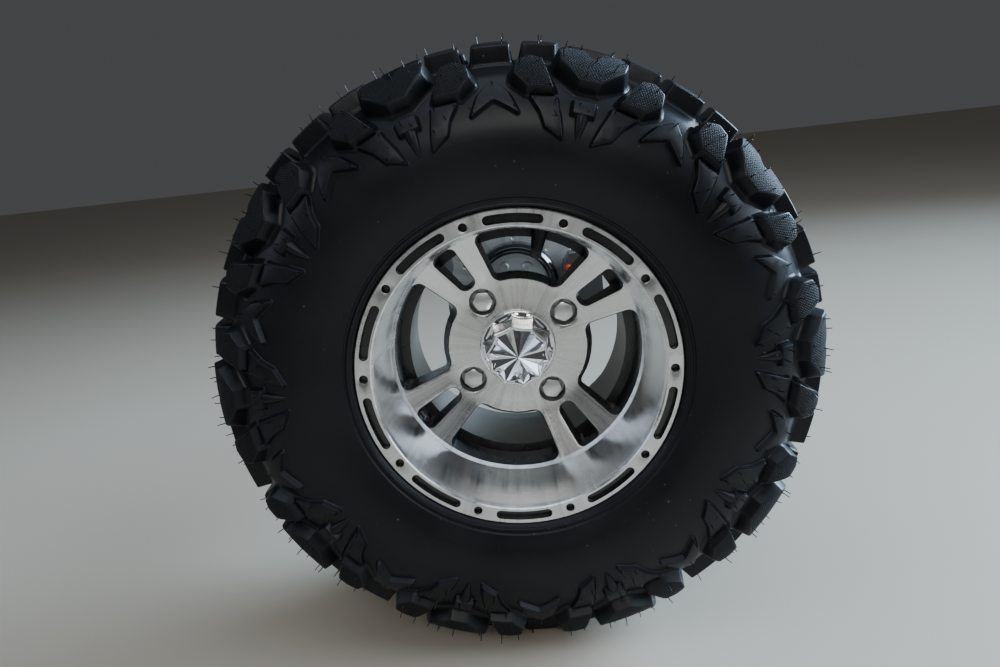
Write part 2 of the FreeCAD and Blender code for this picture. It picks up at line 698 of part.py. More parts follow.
# Axle: one solid shaft with a splined seat and a threaded end on each side
def make_axle():
    axle = new_body("axle_shaft", x="pad_reach")
    left_seat = "ring_offset - hub_pad_depth - hub_length + 8"
    left_nose = "ring_offset - hub_pad_depth + 8"
    rows = [
        ("0", f"-({left_nose} + axle_thread_length - 14)"),
        ("axle_thread_radius - 1.2", f"-({left_nose} + axle_thread_length - 14)"),
        ("axle_thread_radius", f"-({left_nose} + axle_thread_length - 16)"),
        ("axle_thread_radius", f"-({left_nose})"),
        ("axle_seat_radius", f"-({left_nose})"),
        ("axle_seat_radius", f"-({left_seat})"),
        ("axle_radius", f"-({left_seat} - 4)"),
    ]
    right = [(radius, text[1:]) for radius, text in reversed(rows)]
    outline(new_sketch(axle, "axle_profile"), rows + right)
    revolve(axle, axle.Group[-1], "axle_turned")
    doc.recompute()
    cuts = []
    for side, seat_start in (("left", f"-({left_nose} + 2)"), ("right", left_seat)):
        spline = new_sketch(axle, f"{side}_spline_outline", "XZ_Plane", f"-({seat_start})")
        rows = [("axle_seat_radius + 1", -1.6), ("axle_seat_radius + 1", 1.6),
                ("axle_seat_radius - 1.3", 1.2), ("axle_seat_radius - 1.3", -1.2)]
        outline(spline, [polar(radius, f"180 / spline_count + {angle}") for radius, angle in rows])
        cuts.append(pocket(axle, spline, f"{side}_spline", "hub_length + 2"))
    round_pattern(axle, cuts, "splines", "spline_count")
    return axle


# Bearing carrier: a barrel round the axle, its bolted plate in front, and webs between them
def make_carrier():
    carrier = new_body("axle_carrier")
    half = "carrier_length / 2"
    plate = new_sketch(carrier, "plate_outline", "YZ_Plane", "0")
    w, tall = "pad_width / 2", "pad_height / 2"
    outline(plate, [
        ("-(" + w + ") + 12", "-(" + tall + ")"), (w + " - 12", "-(" + tall + ")"), (w, "-(" + tall + ") + 12"),
        (w, tall + " - 12"), (w + " - 12", tall), ("-(" + w + ") + 12", tall), ("-(" + w + ")", tall + " - 12"),
        ("-(" + w + ")", "-(" + tall + ") + 12"),
    ])
    pad(carrier, plate, "plate", "pad_thick")
    web = new_sketch(carrier, "web_outline", "XZ_Plane", "0")
    top = "carrier_radius - 7"
    outline(web, [
        ("pad_thick - 2", "-(" + top + ")"), ("pad_reach", "-(" + top + ")"),
        ("pad_reach", top), ("pad_thick - 2", top),
    ])
    pad(carrier, web, "web", "pad_width - 64", middle=True)
    barrel = new_sketch(carrier, "barrel_outline", "XZ_Plane", "-(" + half + ")")
    circle(barrel, "pad_reach", "0", "carrier_radius")
    pad(carrier, barrel, "barrel", "carrier_length")
    doc.recompute()
    bore = new_sketch(carrier, "bore_outline", "XZ_Plane", "-(" + half + " + 1)")
    circle(bore, "pad_reach", "0", "carrier_bore_radius")
    pocket(carrier, bore, "bore", "carrier_length + 2", reverse=True)
    for side, sense in (("left", -1), ("right", 1)):
        seat = new_sketch(carrier, f"{side}_seat_outline", "XZ_Plane", f"-({sense} * ({half} + 1))")
        circle(seat, "pad_reach", "0", "bearing_outer_radius")
        pocket(carrier, seat, f"{side}_seat", "bearing_width + 1.5", reverse=sense > 0)
    holes = new_sketch(carrier, "bolt_outline", "YZ_Plane", "-1")
    for y_sense in (-1, 1):
        for z_sense in (-1, 1):
            circle(holes, f"{y_sense} * pad_spacing_y / 2", f"{z_sense} * pad_spacing_z / 2", "pad_hole_radius")
    pocket(carrier, holes, "bolt_holes", "pad_thick + 2", reverse=True)
    return carrier


def make_bearing(side, sense):
    middle = f"{sense} * (carrier_length / 2 - 0.5 - bearing_width / 2)"
    bearing = new_body(f"bearing_{side}", x="pad_reach", y=middle)
    inner, outer = "axle_radius + bearing_fit", "bearing_outer_radius - axle_fit"
    half = "bearing_width / 2"
    outline(new_sketch(bearing, "bearing_profile"), [
        (inner, f"-{half}"), (outer, f"-{half}"), (outer, half), (inner, half),
    ])
    revolve(bearing, bearing.Group[-1], "bearing")
    return bearing


# Brake: disc on its hub, and a caliper on a bracket from the carrier
def make_disc():
    disc = new_body("brake_disc", x="pad_reach", y="-disc_offset", turn=VALUE["spin_clock"])
    petal = new_sketch(disc, "petal_outline", "XZ_Plane", "0")
    # One petal: share of its turn, and radius
    edge = ((0.0, "disc_radius"), (0.25, "disc_radius - 2"), (0.42, "disc_valley"), (0.58, "disc_valley"),
            (0.75, "disc_radius - 2"))
    rows = []
    for index in range(VALUE["disc_petals"]):
        for share, radius in edge:
            rows.append(polar(radius, f"360 / disc_petals * {index + share}"))
    outline(petal, rows)
    pad(disc, petal, "petals", "disc_thick", middle=True)
    doc.recompute()
    bore = new_sketch(disc, "disc_bore_outline", "XZ_Plane", "0")
    circle(bore, "0", "0", "disc_bore_radius")
    pocket(disc, bore, "disc_bore", "disc_thick * 2", middle=True)
    holes = new_sketch(disc, "disc_hole_outline", "XZ_Plane", "0")
    for radius, share in (("disc_radius - 12", 0.0), ("disc_radius - 22", 0.3)):
        circle(holes, *polar(radius, f"360 / disc_petals * {share}"), "3.6")
    cut = pocket(disc, holes, "disc_holes", "disc_thick * 2", middle=True)
    round_pattern(disc, [cut], "disc_hole_ring", "disc_petals")
    return disc


def make_disc_hub():
    hub = new_body("disc_hub", x="pad_reach", y="-disc_offset", turn=VALUE["spin_clock"])
    face = "-disc_thick / 2"
    outline(new_sketch(hub, "cup_profile"), [
        ("axle_radius + axle_fit", face),
        ("axle_radius + axle_fit", face + " - disc_hub_thick"),
        ("disc_hub_inner", face + " - disc_hub_thick"),
        ("disc_hub_inner", face + " - disc_hub_depth"),
        ("disc_hub_inner + 7", face + " - disc_hub_depth"),
        ("disc_hub_radius", face + " - disc_hub_depth + 8"),
        ("disc_hub_radius", face),
    ])
    revolve(hub, hub.Group[-1], "cup")
    plate = new_body("disc_hub_plate", x="pad_reach", y="-disc_offset", turn=VALUE["spin_clock"])
    back = "-disc_thick / 2 - disc_hub_thick"
    outline(new_sketch(plate, "plate_profile"), [
        ("axle_radius + axle_fit", back),
        ("axle_radius + axle_fit", back + " - plate_thick"),
        ("disc_hub_inner - 0.5", back + " - plate_thick"),
        ("disc_hub_inner - 0.5", back),
    ])
    revolve(plate, plate.Group[-1], "plate_turned")
    doc.recompute()
    bolts = new_body("disc_hub_bolts", x="pad_reach", y="-disc_offset", turn=VALUE["spin_clock"])
    heads = new_sketch(bolts, "bolt_heads_outline", "XZ_Plane", "-(" + back + " - plate_thick)")
    for index in range(VALUE["plate_bolts"]):
        middle = polar("plate_bolt_circle / 2", f"360 / plate_bolts * {index}")
        corners = [polar("plate_bolt_radius", str(60 * corner)) for corner in range(6)]
        outline(heads, [(f"{middle[0]} + {x}", f"{middle[1]} + {y}") for x, y in corners])
    pad(bolts, heads, "bolt_heads", "plate_bolt_head")
    return hub


def make_caliper():
    reach = "disc_radius + caliper_gap"
    faces = "disc_thick / 2 + caliper_gap"
    tall = "caliper_height / 2"
    caliper = new_body("brake_caliper", x="pad_reach", y="-disc_offset")
    inner_thick = f"disc_offset - ({faces}) - carrier_length / 2 - bracket_thick"
    for side, sense, thick in (("outer", -1, "caliper_thick"), ("inner", 1, inner_thick)):
        half = new_sketch(caliper, f"{side}_half_outline", "XZ_Plane", f"-({sense} * ({faces}))")
        outline(half, [
            ("disc_hub_radius + 5", f"-{tall} * 0.55"), ("disc_hub_radius + 14", f"-{tall}"),
            (reach + " + 6", f"-{tall}"), (reach + " + 14", f"-{tall} * 0.6"),
            (reach + " + 14", f"{tall} * 0.6"), (reach + " + 6", tall),
            ("disc_hub_radius + 14", tall), ("disc_hub_radius + 5", f"{tall} * 0.55"),
        ])
        pad(caliper, half, f"{side}_half", thick, reverse=sense > 0)
    bridge = new_sketch(caliper, "bridge_outline", "XZ_Plane", "0")
    outline(bridge, [
        (reach, f"-{tall} * 0.6"), (reach + " + 14", f"-{tall} * 0.6"),
        (reach + " + 14", f"{tall} * 0.6"), (reach, f"{tall} * 0.6"),
    ])
    pad(caliper, bridge, "bridge", "disc_thick + 2 * caliper_gap + 2", middle=True)

    for side, sense in (("outer", -1), ("inner", 1)):
        brake_pad = new_body(f"brake_pad_{side}", x="pad_reach", y="-disc_offset")
        face = f"-({sense} * (disc_thick / 2 + pad_face_gap))"
        block = new_sketch(brake_pad, "pad_outline", "XZ_Plane", face)
        outline(block, [
            ("disc_hub_radius + 8", f"-{tall} * 0.6"), ("disc_valley", f"-{tall} * 0.6"),
            ("disc_valley", f"{tall} * 0.6"), ("disc_hub_radius + 8", f"{tall} * 0.6"),
        ])
        pad(brake_pad, block, "pad_block", "caliper_gap - pad_face_gap", reverse=sense > 0)

    bracket = new_body("caliper_bracket", x="pad_reach", y="-carrier_length / 2")
    ring = new_sketch(bracket, "ring_outline", "XZ_Plane", "0")
    circle(ring, "0", "0", "carrier_radius")
    pad(bracket, ring, "ring", "bracket_thick")
    arm = new_sketch(bracket, "arm_outline", "XZ_Plane", "0")
    outline(arm, [
        ("carrier_radius * 0.6", f"-{tall} * 0.7"), (reach + " + 10", f"-{tall} * 0.8"),
        (reach + " + 10", f"{tall} * 0.8"), ("carrier_radius * 0.6", f"{tall} * 0.7"),
    ])
    pad(bracket, arm, "arm", "bracket_thick")
    doc.recompute()
    hole = new_sketch(bracket, "bracket_bore_outline", "XZ_Plane", "-1")
    circle(hole, "0", "0", "bearing_outer_radius + 2")
    pocket(bracket, hole, "bracket_bore", "bracket_thick + 2", reverse=True)

    outer_face = "-disc_offset - disc_thick / 2 - caliper_gap - caliper_thick"
    cap = new_body("bleed_cap", x="pad_reach + disc_hub_radius + 12", y=outer_face, z="caliper_height * 0.25")
    outline(new_sketch(cap, "bleed_cap_profile"), [
        ("0", "0"), ("4.5", "0"), ("4.5", "-5"), ("3", "-7"), ("0", "-7"),
    ])
    revolve(cap, cap.Group[-1], "bleed_cap_turned")


make_rim()
make_tyre()
make_hub()
for index in range(VALUE["lug_count"]):
    make_stud(index)
    make_nut(index)
make_cap()
make_valve()
make_axle()
make_carrier()
make_bearing("left", -1)
make_bearing("right", 1)
make_disc()
make_disc_hub()
make_caliper()
doc.recompute()

# Every feature has to be sound before anything is written
for item in doc.Objects:
    if "Invalid" in item.State or "Error" in item.State:
        raise RuntimeError(f"{item.Label} failed: {item.State}")
for body in sub_parts:
    if body.Shape.isNull() or not body.Shape.isValid():
        raise RuntimeError(f"{body.Label} has no sound shape")

os.makedirs("parts", exist_ok=True)
for body in sub_parts:
    body.Shape.exportStep(f"parts/{body.Label}.step")
    print(body.Label, len(body.Shape.Solids), round(body.Shape.Volume / 1000, 2), "cm3")
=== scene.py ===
"""Looks of a quad bike's rear wheel on its axle: fine tread, turned alloy, chrome, brake and castings."""

import json
import logging
import math
from dataclasses import dataclass
from enum import Enum
from typing import Any, Callable, Iterable, Sequence

import bmesh
import bpy
import numpy as np
from mathutils import Matrix, Vector
from mathutils.geometry import delaunay_2d_cdt


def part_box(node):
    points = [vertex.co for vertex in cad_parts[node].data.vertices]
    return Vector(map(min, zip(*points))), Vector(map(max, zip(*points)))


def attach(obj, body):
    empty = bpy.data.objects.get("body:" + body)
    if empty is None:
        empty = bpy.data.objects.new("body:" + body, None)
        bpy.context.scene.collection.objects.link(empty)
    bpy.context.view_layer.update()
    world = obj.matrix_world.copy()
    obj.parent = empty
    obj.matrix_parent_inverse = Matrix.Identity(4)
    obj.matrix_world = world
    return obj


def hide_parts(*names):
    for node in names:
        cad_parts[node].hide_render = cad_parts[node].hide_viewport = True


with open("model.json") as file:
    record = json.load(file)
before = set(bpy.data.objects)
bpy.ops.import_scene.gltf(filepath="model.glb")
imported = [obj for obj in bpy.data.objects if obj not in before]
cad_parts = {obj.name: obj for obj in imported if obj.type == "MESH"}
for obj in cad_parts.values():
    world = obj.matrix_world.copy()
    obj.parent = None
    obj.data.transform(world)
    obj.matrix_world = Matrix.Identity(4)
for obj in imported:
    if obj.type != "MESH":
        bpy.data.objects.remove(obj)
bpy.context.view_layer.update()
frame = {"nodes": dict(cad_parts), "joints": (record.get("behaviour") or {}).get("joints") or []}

LOG = logging.getLogger("wheel")
MM = 0.001
SMALL = 1e-9  # keeps a division by a length from failing
ON_AXIS = 1e-6  # radius in mm below which a profile ends in a pole
WELD = 2e-6  # metres within which two points of a mesh are one
SNAP = 1e-5  # mm within which the triangulation takes points as one
STRAIGHT = 1e-3  # turn in radians below which a corner needs no arc
CORNER_REACH = 0.49  # most of an edge that the arc of one corner may take
MITRE = 0.6  # the stretch of a wall's corner ends at the inverse of this
ARC = (0, 30, 60, 90)  # degrees at which a broken edge has its rings
Loop = np.ndarray
Rows = Sequence[tuple[float, ...]]
Tint = Place = tuple[float, float, float]
Table = dict[str, np.ndarray]
Height = float | np.ndarray | Callable[[Loop], np.ndarray]


# Outlines and profiles
def rounded(corners: Rows, closed: bool = True, step: float = 15.0) -> Loop:
    """Polyline through corners, each turned by an arc.

    Args:
        corners: rows of x, y and, where the corner is rounded, its radius.
        closed: whether the last corner leads back to the first.
        step: largest turn between two points of an arc, in degrees.

    Returns:
        Points as rows of x and y.
    """
    count = len(corners)
    places = [np.array(row[:2], float) for row in corners]
    path: list[np.ndarray] = []
    for index, row in enumerate(corners):
        radius = row[2] if len(row) > 2 else 0.0
        if radius <= 0 or (not closed and index in (0, count - 1)):
            path.append(places[index])
            continue
        here = places[index]
        back = places[index - 1] - here
        ahead = places[(index + 1) % count] - here
        back_length, ahead_length = np.linalg.norm(back), np.linalg.norm(ahead)
        back, ahead = back / back_length, ahead / ahead_length
        opening = math.acos(max(-1.0, min(1.0, float(back @ ahead))))
        turn = math.pi - opening
        if turn < STRAIGHT:
            path.append(here)
            continue
        reach = min(radius * math.tan(turn / 2), CORNER_REACH * back_length, CORNER_REACH * ahead_length)
        radius = reach / math.tan(turn / 2)
        middle = (back + ahead) / np.linalg.norm(back + ahead)
        centre = here + middle * radius / math.cos(turn / 2)
        start = here + back * reach - centre
        end = here + ahead * reach - centre
        pieces = max(2, math.ceil(math.degrees(turn) / step))
        for piece in range(pieces + 1):
            share = piece / pieces
            blend = (math.sin((1 - share) * turn) * start + math.sin(share * turn) * end) / math.sin(turn)
            path.append(centre + blend)
    return np.array(path)


def spaced(loop: Loop, spacing: float, closed: bool = True) -> Loop:
    """Same line with points added so that none are further apart than the spacing."""
    path = []
    count = len(loop)
    for index in range(count if closed else count - 1):
        start, end = loop[index], loop[(index + 1) % count]
        pieces = max(1, math.ceil(float(np.linalg.norm(end - start)) / spacing))
        path += [start + (end - start) * piece / pieces for piece in range(pieces)]
    if not closed:
        path.append(loop[-1])
    return np.array(path)


def area(loop: Loop) -> float:
    """Signed area of a closed outline, positive where it runs anticlockwise."""
    x, y = loop[:, 0], loop[:, 1]
    return 0.5 * float(np.sum(x * np.roll(y, -1) - np.roll(x, -1) * y))


def unit(rows: np.ndarray) -> np.ndarray:
    """Rows scaled to a length of 1."""
    return rows / np.maximum(np.linalg.norm(rows, axis=1), SMALL)[:, None]


def outward(loop: Loop) -> Loop:
    """Outward direction at each point of an anticlockwise outline, longer at corners to keep walls parallel."""
    edges = unit(np.roll(loop, -1, 0) - loop)
    normals = np.stack([edges[:, 1], -edges[:, 0]], 1)
    both = unit(normals + np.roll(normals, 1, 0))
    return both / np.clip((both * normals).sum(1), MITRE, 1.0)[:, None]


def turns(count: int) -> np.ndarray:
    """Angles of equally spaced points once round, in radians."""
    return np.arange(count) * 2 * np.pi / count


def circle(radius: float, count: int, x: float = 0.0, y: float = 0.0, start: float = 0.0) -> Loop:
    """Anticlockwise circle as points."""
    turn = np.radians(start) + turns(count)
    return np.stack([x + radius * np.cos(turn), y + radius * np.sin(turn)], 1)


def around(radius: Any, turn: np.ndarray, height: Any, x: float = 0.0, y: float = 0.0) -> np.ndarray:
    """Points round an upright axis at x and y, all at one radius and height or each at its own."""
    return at_height(np.stack([x + radius * np.cos(turn), y + radius * np.sin(turn)], 1), height)


def at_height(flat: Loop, height: Height) -> np.ndarray:
    """Flat points lifted to one height, each to its own, or to what a function gives them."""
    return np.column_stack([flat, np.broadcast_to(height(flat) if callable(height) else height, (len(flat),))])


def polar(radius: float, degrees: float) -> tuple[float, float]:
    """Point at a radius and an angle."""
    return radius * math.cos(math.radians(degrees)), radius * math.sin(math.radians(degrees))


def grown(loop: Loop, distance: float) -> Loop:
    """Outline moved outwards by a distance."""
    return loop + outward(loop) * distance


def holds(loop: Loop, points: Loop) -> np.ndarray:
    """Which points lie inside a closed outline."""
    x, y = points[:, 0][:, None], points[:, 1][:, None]
    x0, y0 = loop[:, 0][None], loop[:, 1][None]
    x1, y1 = np.roll(loop[:, 0], -1)[None], np.roll(loop[:, 1], -1)[None]
    rise = np.where(np.abs(y1 - y0) < 1e-12, 1e-12, y1 - y0)
    crossed = ((y0 > y) != (y1 > y)) & (x < (x1 - x0) * (y - y0) / rise + x0)
    return crossed.sum(1) % 2 == 1


def filled(outer: Loop, holes: Sequence[Loop], inner: Loop | None = None) -> tuple[Loop, list[tuple[int, ...]]]:
    """Triangles that fill an outline around its holes.

    Args:
        outer: closed outline.
        holes: closed outlines inside it.
        inner: further points for the triangles to use, where the surface curves.

    Returns:
        Points as rows of x and y, and triangles as rows of three indices.
    """
    def covered(places: Loop) -> np.ndarray:
        """Which places lie inside the outline and outside its holes."""
        keep = holds(outer, places)
        for hole in holes:
            keep &= ~holds(hole, places)
        return keep

    points: list[Vector] = []
    edges = []
    for loop in (outer, *holes):
        base = len(points)
        points += [Vector((float(x), float(y))) for x, y in loop]
        edges += [(base + i, base + (i + 1) % len(loop)) for i in range(len(loop))]
    if inner is not None and len(inner):
        points += [Vector((float(x), float(y))) for x, y in inner[covered(inner)]]
    found = delaunay_2d_cdt(points, edges, [], 0, SNAP, False)
    flat = np.array([tuple(v) for v in found[0]], float)
    faces = np.array([tuple(face) for face in found[2]], int)
    return flat, [tuple(int(i) for i in row) for row in faces[covered(flat[faces].mean(1))]]


# Meshes
def linked(name: str, data: bpy.types.ID) -> bpy.types.Object:
    """New object of some data, linked to the scene."""
    thing = bpy.data.objects.new(name, data)
    bpy.context.scene.collection.objects.link(thing)
    return thing


def smoothed(data: bpy.types.Mesh, crease: float) -> None:
    """Shade a mesh smooth, but for edges over an angle in degrees."""
    data.polygons.foreach_set("use_smooth", np.ones(len(data.polygons), bool))
    data.set_sharp_from_angle(angle=math.radians(crease))


class Mesh:
    """Mesh under construction, in millimetres."""

    def __init__(self) -> None:
        """Start with nothing."""
        self.blocks: list[np.ndarray] = []
        self.marks: list[np.ndarray] = []
        self.faces: list[tuple[int, ...]] = []
        self.slots: list[int] = []
        self.count = 0

    def add(self, points: np.ndarray, faces: Iterable[Sequence[int]], slot: int = 0,
            marks: np.ndarray | None = None) -> int:
        """Take in points and faces.

        Args:
            points: rows of x, y and z.
            faces: rows of indices into these points.
            slot: which of the piece's finishes they take.
            marks: flat coordinates of the points, in metres, for finishes that follow the surface.

        Returns:
            Index of the first new point.
        """
        base = self.count
        self.blocks.append(np.asarray(points, float).reshape(-1, 3))
        self.marks.append(np.zeros((len(self.blocks[-1]), 2)) if marks is None else np.asarray(marks, float))
        rows = [tuple(base + int(i) for i in face) for face in faces]
        self.faces += rows
        self.slots += [slot] * len(rows)
        self.count += len(self.blocks[-1])
        return base

    def join(self, other: "Mesh", matrix: np.ndarray | None = None) -> None:
        """Take in another mesh, moved by a 4 by 4 matrix; a mirrored one is turned right side out."""
        points = np.vstack(other.blocks)
        flip = False
        if matrix is not None:
            points = points @ matrix[:3, :3].T + matrix[:3, 3]
            flip = np.linalg.det(matrix[:3, :3]) < 0
        base = self.count
        self.blocks.append(points)
        self.marks.append(np.vstack(other.marks))
        for face in other.faces:
            row = tuple(base + i for i in face)
            self.faces.append(row[::-1] if flip else row)
        self.slots += other.slots
        self.count += len(points)

    def spin(self, degrees: float) -> None:
        """Turn everything about z."""
        x, y = polar(1.0, degrees)
        rows = np.array([[x, y, 0.0], [-y, x, 0.0], [0.0, 0.0, 1.0]])
        self.blocks = [block @ rows for block in self.blocks]

    def strip(self, loops: Sequence[np.ndarray], slot: int = 0, closed: bool = True) -> None:
        """Quads between loops of equal length, each loop's points as rows of x, y and z."""
        width = len(loops[0])
        faces = []
        for row in range(len(loops) - 1):
            for column in range(width if closed else width - 1):
                after = (column + 1) % width
                low, high = row * width, (row + 1) * width
                faces.append((low + column, low + after, high + after, high + column))
        self.add(np.vstack(loops), faces, slot)

    def lid(self, loop: np.ndarray) -> None:
        """One face on a loop."""
        self.add(loop, [tuple(range(len(loop)))])

    def lathe(self, profile: Loop, segments: int, slot: int = 0) -> None:
        """Turn a profile of radius and height about the upright axis."""
        turn = turns(segments)
        loops = [around(r, turn, z) for r, z in profile if r > ON_AXIS]
        if len(loops) > 1:
            self.strip(loops, slot)
        for end, loop in ((0, loops[0]), (-1, loops[-1])):
            if profile[end][0] <= ON_AXIS:
                pole = np.array([[0.0, 0.0, profile[end][1]]])
                fan = [(segments, (i + 1) % segments, i) for i in range(segments)]
                self.add(np.vstack([loop, pole]), [f[::-1] for f in fan] if end == 0 else fan, slot)

    def turned(self, corners: Rows, segments: int, slot: int = 0, step: float = 15.0,
               spacing: float | None = None) -> None:
        """Turn a profile given by its corners, with points at most a spacing apart if there is one."""
        profile = rounded(corners, False, step)
        self.lathe(profile if spacing is None else spaced(profile, spacing, False), segments, slot)

    def cap(self, outer: Loop, holes: Sequence[Loop], height: Height, slot: int = 0,
            inner: Loop | None = None) -> None:
        """Fill an outline around its holes at a height."""
        flat, faces = filled(outer, holes, inner)
        self.add(at_height(flat, height), faces, slot)

    def wall(self, loop: Loop, rows: Sequence[tuple[float, Height]], slot: int = 0) -> None:
        """Wall along an outline: each row is an offset from it and the height there."""
        push = outward(loop) if area(loop) > 0 else -outward(loop)
        self.strip([at_height(loop + push * shift, height) for shift, height in rows], slot)

    def object(self, name: str, finishes: Sequence["Finish"], place: Matrix | None = None,
               crease: float = 38.0) -> bpy.types.Object:
        """Object made of this mesh.

        Args:
            name: the piece's name.
            finishes: finish of each slot.
            place: where the mesh's own frame stands, in metres.
            crease: angle in degrees above which an edge stays sharp.

        Returns:
            The object, linked to the scene.
        """
        data = bpy.data.meshes.new(name)
        points = np.vstack(self.blocks) * MM
        data.from_pydata(points.tolist(), [], self.faces)
        layer = data.uv_layers.new(name="surface")
        marks = np.vstack(self.marks)
        corners = np.zeros(len(data.loops), np.int32)
        data.loops.foreach_get("vertex_index", corners)
        layer.data.foreach_set("uv", marks[corners].ravel())
        data.polygons.foreach_set("material_index", np.array(self.slots, np.int32))
        shape = bmesh.new()
        shape.from_mesh(data)
        bmesh.ops.remove_doubles(shape, verts=shape.verts, dist=WELD)
        bmesh.ops.recalc_face_normals(shape, faces=shape.faces)
        shape.to_mesh(data)
        shape.free()
        smoothed(data, crease)
        for finish in finishes:
            data.materials.append(finish.material())
        piece = linked(name, data)
        if place is not None:
            piece.matrix_world = place
        return piece


# Shaders
def rgba(colour: Tint, factor: float = 1.0, lift: float = 0.0) -> tuple[float, ...]:
    """Colour with full alpha, made darker or paler."""
    return (*(c * factor + lift for c in colour), 1.0)


class Socket:
    """Output of a shader node, on which sums are written as plain expressions."""

    def __init__(self, graph: "Graph", socket: bpy.types.NodeSocket) -> None:
        """Wrap an output of a node of the graph."""
        self.graph = graph
        self.socket = socket

    def math(self, operation: str, *others: Any, swap: bool = False) -> "Socket":
        """Math node, or Vector Math for a vector, of this and other values."""
        kind = "VectorMath" if self.socket.type == "VECTOR" else "Math"
        values = [*others, self] if swap else [self, *others]
        return self.graph.node(kind, {"operation": operation}, dict(enumerate(values)))

    def __add__(self, other: Any) -> "Socket":
        """Sum."""
        return self.math("ADD", other)

    __radd__ = __add__

    def __sub__(self, other: Any) -> "Socket":
        """Difference."""
        return self.math("SUBTRACT", other)

    def __rsub__(self, other: Any) -> "Socket":
        """Difference from a number."""
        return self.math("SUBTRACT", other, swap=True)

    def __mul__(self, other: Any) -> "Socket":
        """Product."""
        return self.math("MULTIPLY", other)

    __rmul__ = __mul__

    def __truediv__(self, other: Any) -> "Socket":
        """Quotient."""
        return self.math("DIVIDE", other)

    def __rtruediv__(self, other: Any) -> "Socket":
        """Quotient of a number by this."""
        return self.math("DIVIDE", other, swap=True)

    def __pow__(self, other: Any) -> "Socket":
        """Power."""
        return self.math("POWER", other)

    def length(self) -> "Socket":
        """Length of a vector."""
        return self.graph.node("VectorMath", {"operation": "LENGTH"}, {0: self}, "Value")

    def step(self, low: float, high: float) -> "Socket":
        """Smooth rise from 0 at low to 1 at high."""
        return self.graph.node("MapRange", {"interpolation_type": "SMOOTHSTEP"},
                               {"Value": self, "From Min": low, "From Max": high})


class Graph:
    """Node tree of one finish."""

    def __init__(self, name: str) -> None:
        """Start an empty material."""
        self.material = bpy.data.materials.new(name)
        self.material.use_nodes = True
        self.tree = self.material.node_tree
        self.tree.nodes.clear()

    def node(self, kind: str, settings: dict[str, Any] | None = None, sockets: dict[Any, Any] | None = None,
             output: Any = 0) -> Socket:
        """New node.

        Args:
            kind: the node's type, without the words that all of them start with.
            settings: its properties, set before its sockets.
            sockets: values or links of its inputs, by name or place.
            output: which output is wanted.

        Returns:
            The output, wrapped.
        """
        node = self.tree.nodes.new("ShaderNode" + kind)
        for key, value in (settings or {}).items():
            setattr(node, key, value)
        for key, value in (sockets or {}).items():
            if isinstance(value, Socket):
                self.tree.links.new(value.socket, node.inputs[key])
            else:
                node.inputs[key].default_value = value
        return Socket(self, node.outputs[output])

    def place(self) -> Socket:
        """Point of the surface in the piece's own frame, in metres."""
        return self.node("TexCoord", output="Object")

    def marks(self) -> Socket:
        """Flat coordinates that the mesh carries, in metres."""
        return self.node("UVMap", {"uv_map": "surface"})

    def split(self, vector: Socket) -> tuple[Socket, Socket, Socket]:
        """The three parts of a vector."""
        first = self.node("SeparateXYZ", {}, {0: vector})
        outputs = first.socket.node.outputs
        return first, Socket(self, outputs[1]), Socket(self, outputs[2])

    def noise(self, scale: float, detail: float = 2.0, roughness: float = 0.5,
              vector: Socket | None = None) -> Socket:
        """Noise from 0 to 1 in space."""
        where = vector if vector is not None else self.place()
        return self.node("TexNoise", {},
                         {"Vector": where, "Scale": scale, "Detail": detail, "Roughness": roughness}, "Fac")

    def streaks(self, value: Socket, scale: float, detail: float = 3.0) -> Socket:
        """Noise along one value, such as a radius, for lathe marks."""
        return self.node("TexNoise", {"noise_dimensions": "1D"},
                         {"W": value, "Scale": scale, "Detail": detail}, "Fac")

    def mix(self, factor: Any, low: Any, high: Any) -> Socket:
        """Mix of two colours."""
        return self.node("Mix", {"data_type": "RGBA"}, {0: factor, 6: low, 7: high}, 2)

    def surface(self, colour: Any, metallic: float, roughness: Any, bump: Socket | None = None,
                depth: float = 0.0002, strength: float = 1.0, **fixed: Any) -> None:
        """Principled surface as the material's output.

        Args:
            colour: base colour or what gives it.
            metallic: 0 or 1.
            roughness: a number or what gives it.
            bump: height from 0 to 1.
            depth: height of the bump in metres.
            strength: how much of the bump is used.
            fixed: other sockets of the shader as plain numbers, with _ for a space in the name.
        """
        sockets: dict[str, Any] = {"Base Color": colour, "Metallic": metallic, "Roughness": roughness}
        if bump is not None:
            sockets["Normal"] = self.node("Bump", {},
                                          {"Height": bump, "Distance": depth, "Strength": strength})
        sockets.update({name.replace("_", " "): value for name, value in fixed.items()})
        shader = self.node("BsdfPrincipled", {}, sockets)
        output = self.tree.nodes.new("ShaderNodeOutputMaterial")
        self.tree.links.new(shader.socket, output.inputs["Surface"])


@dataclass(frozen=True)
class Finish:
    """A surface's finish: its name and the record's slot that it belongs to."""

    name: str
    slot: str

    def paint(self, graph: Graph) -> None:
        """Build the nodes."""
        raise NotImplementedError

    def material(self) -> bpy.types.Material:
        """The finish as a material, made once."""
        found = bpy.data.materials.get(self.name)
        if found is not None:
            return found
        graph = Graph(self.name)
        self.paint(graph)
        return graph.material


class Skin(Enum):
    """How a rubber surface is moulded."""

    SMOOTH = "smooth"
    KNURLED = "fine diamond knurl"


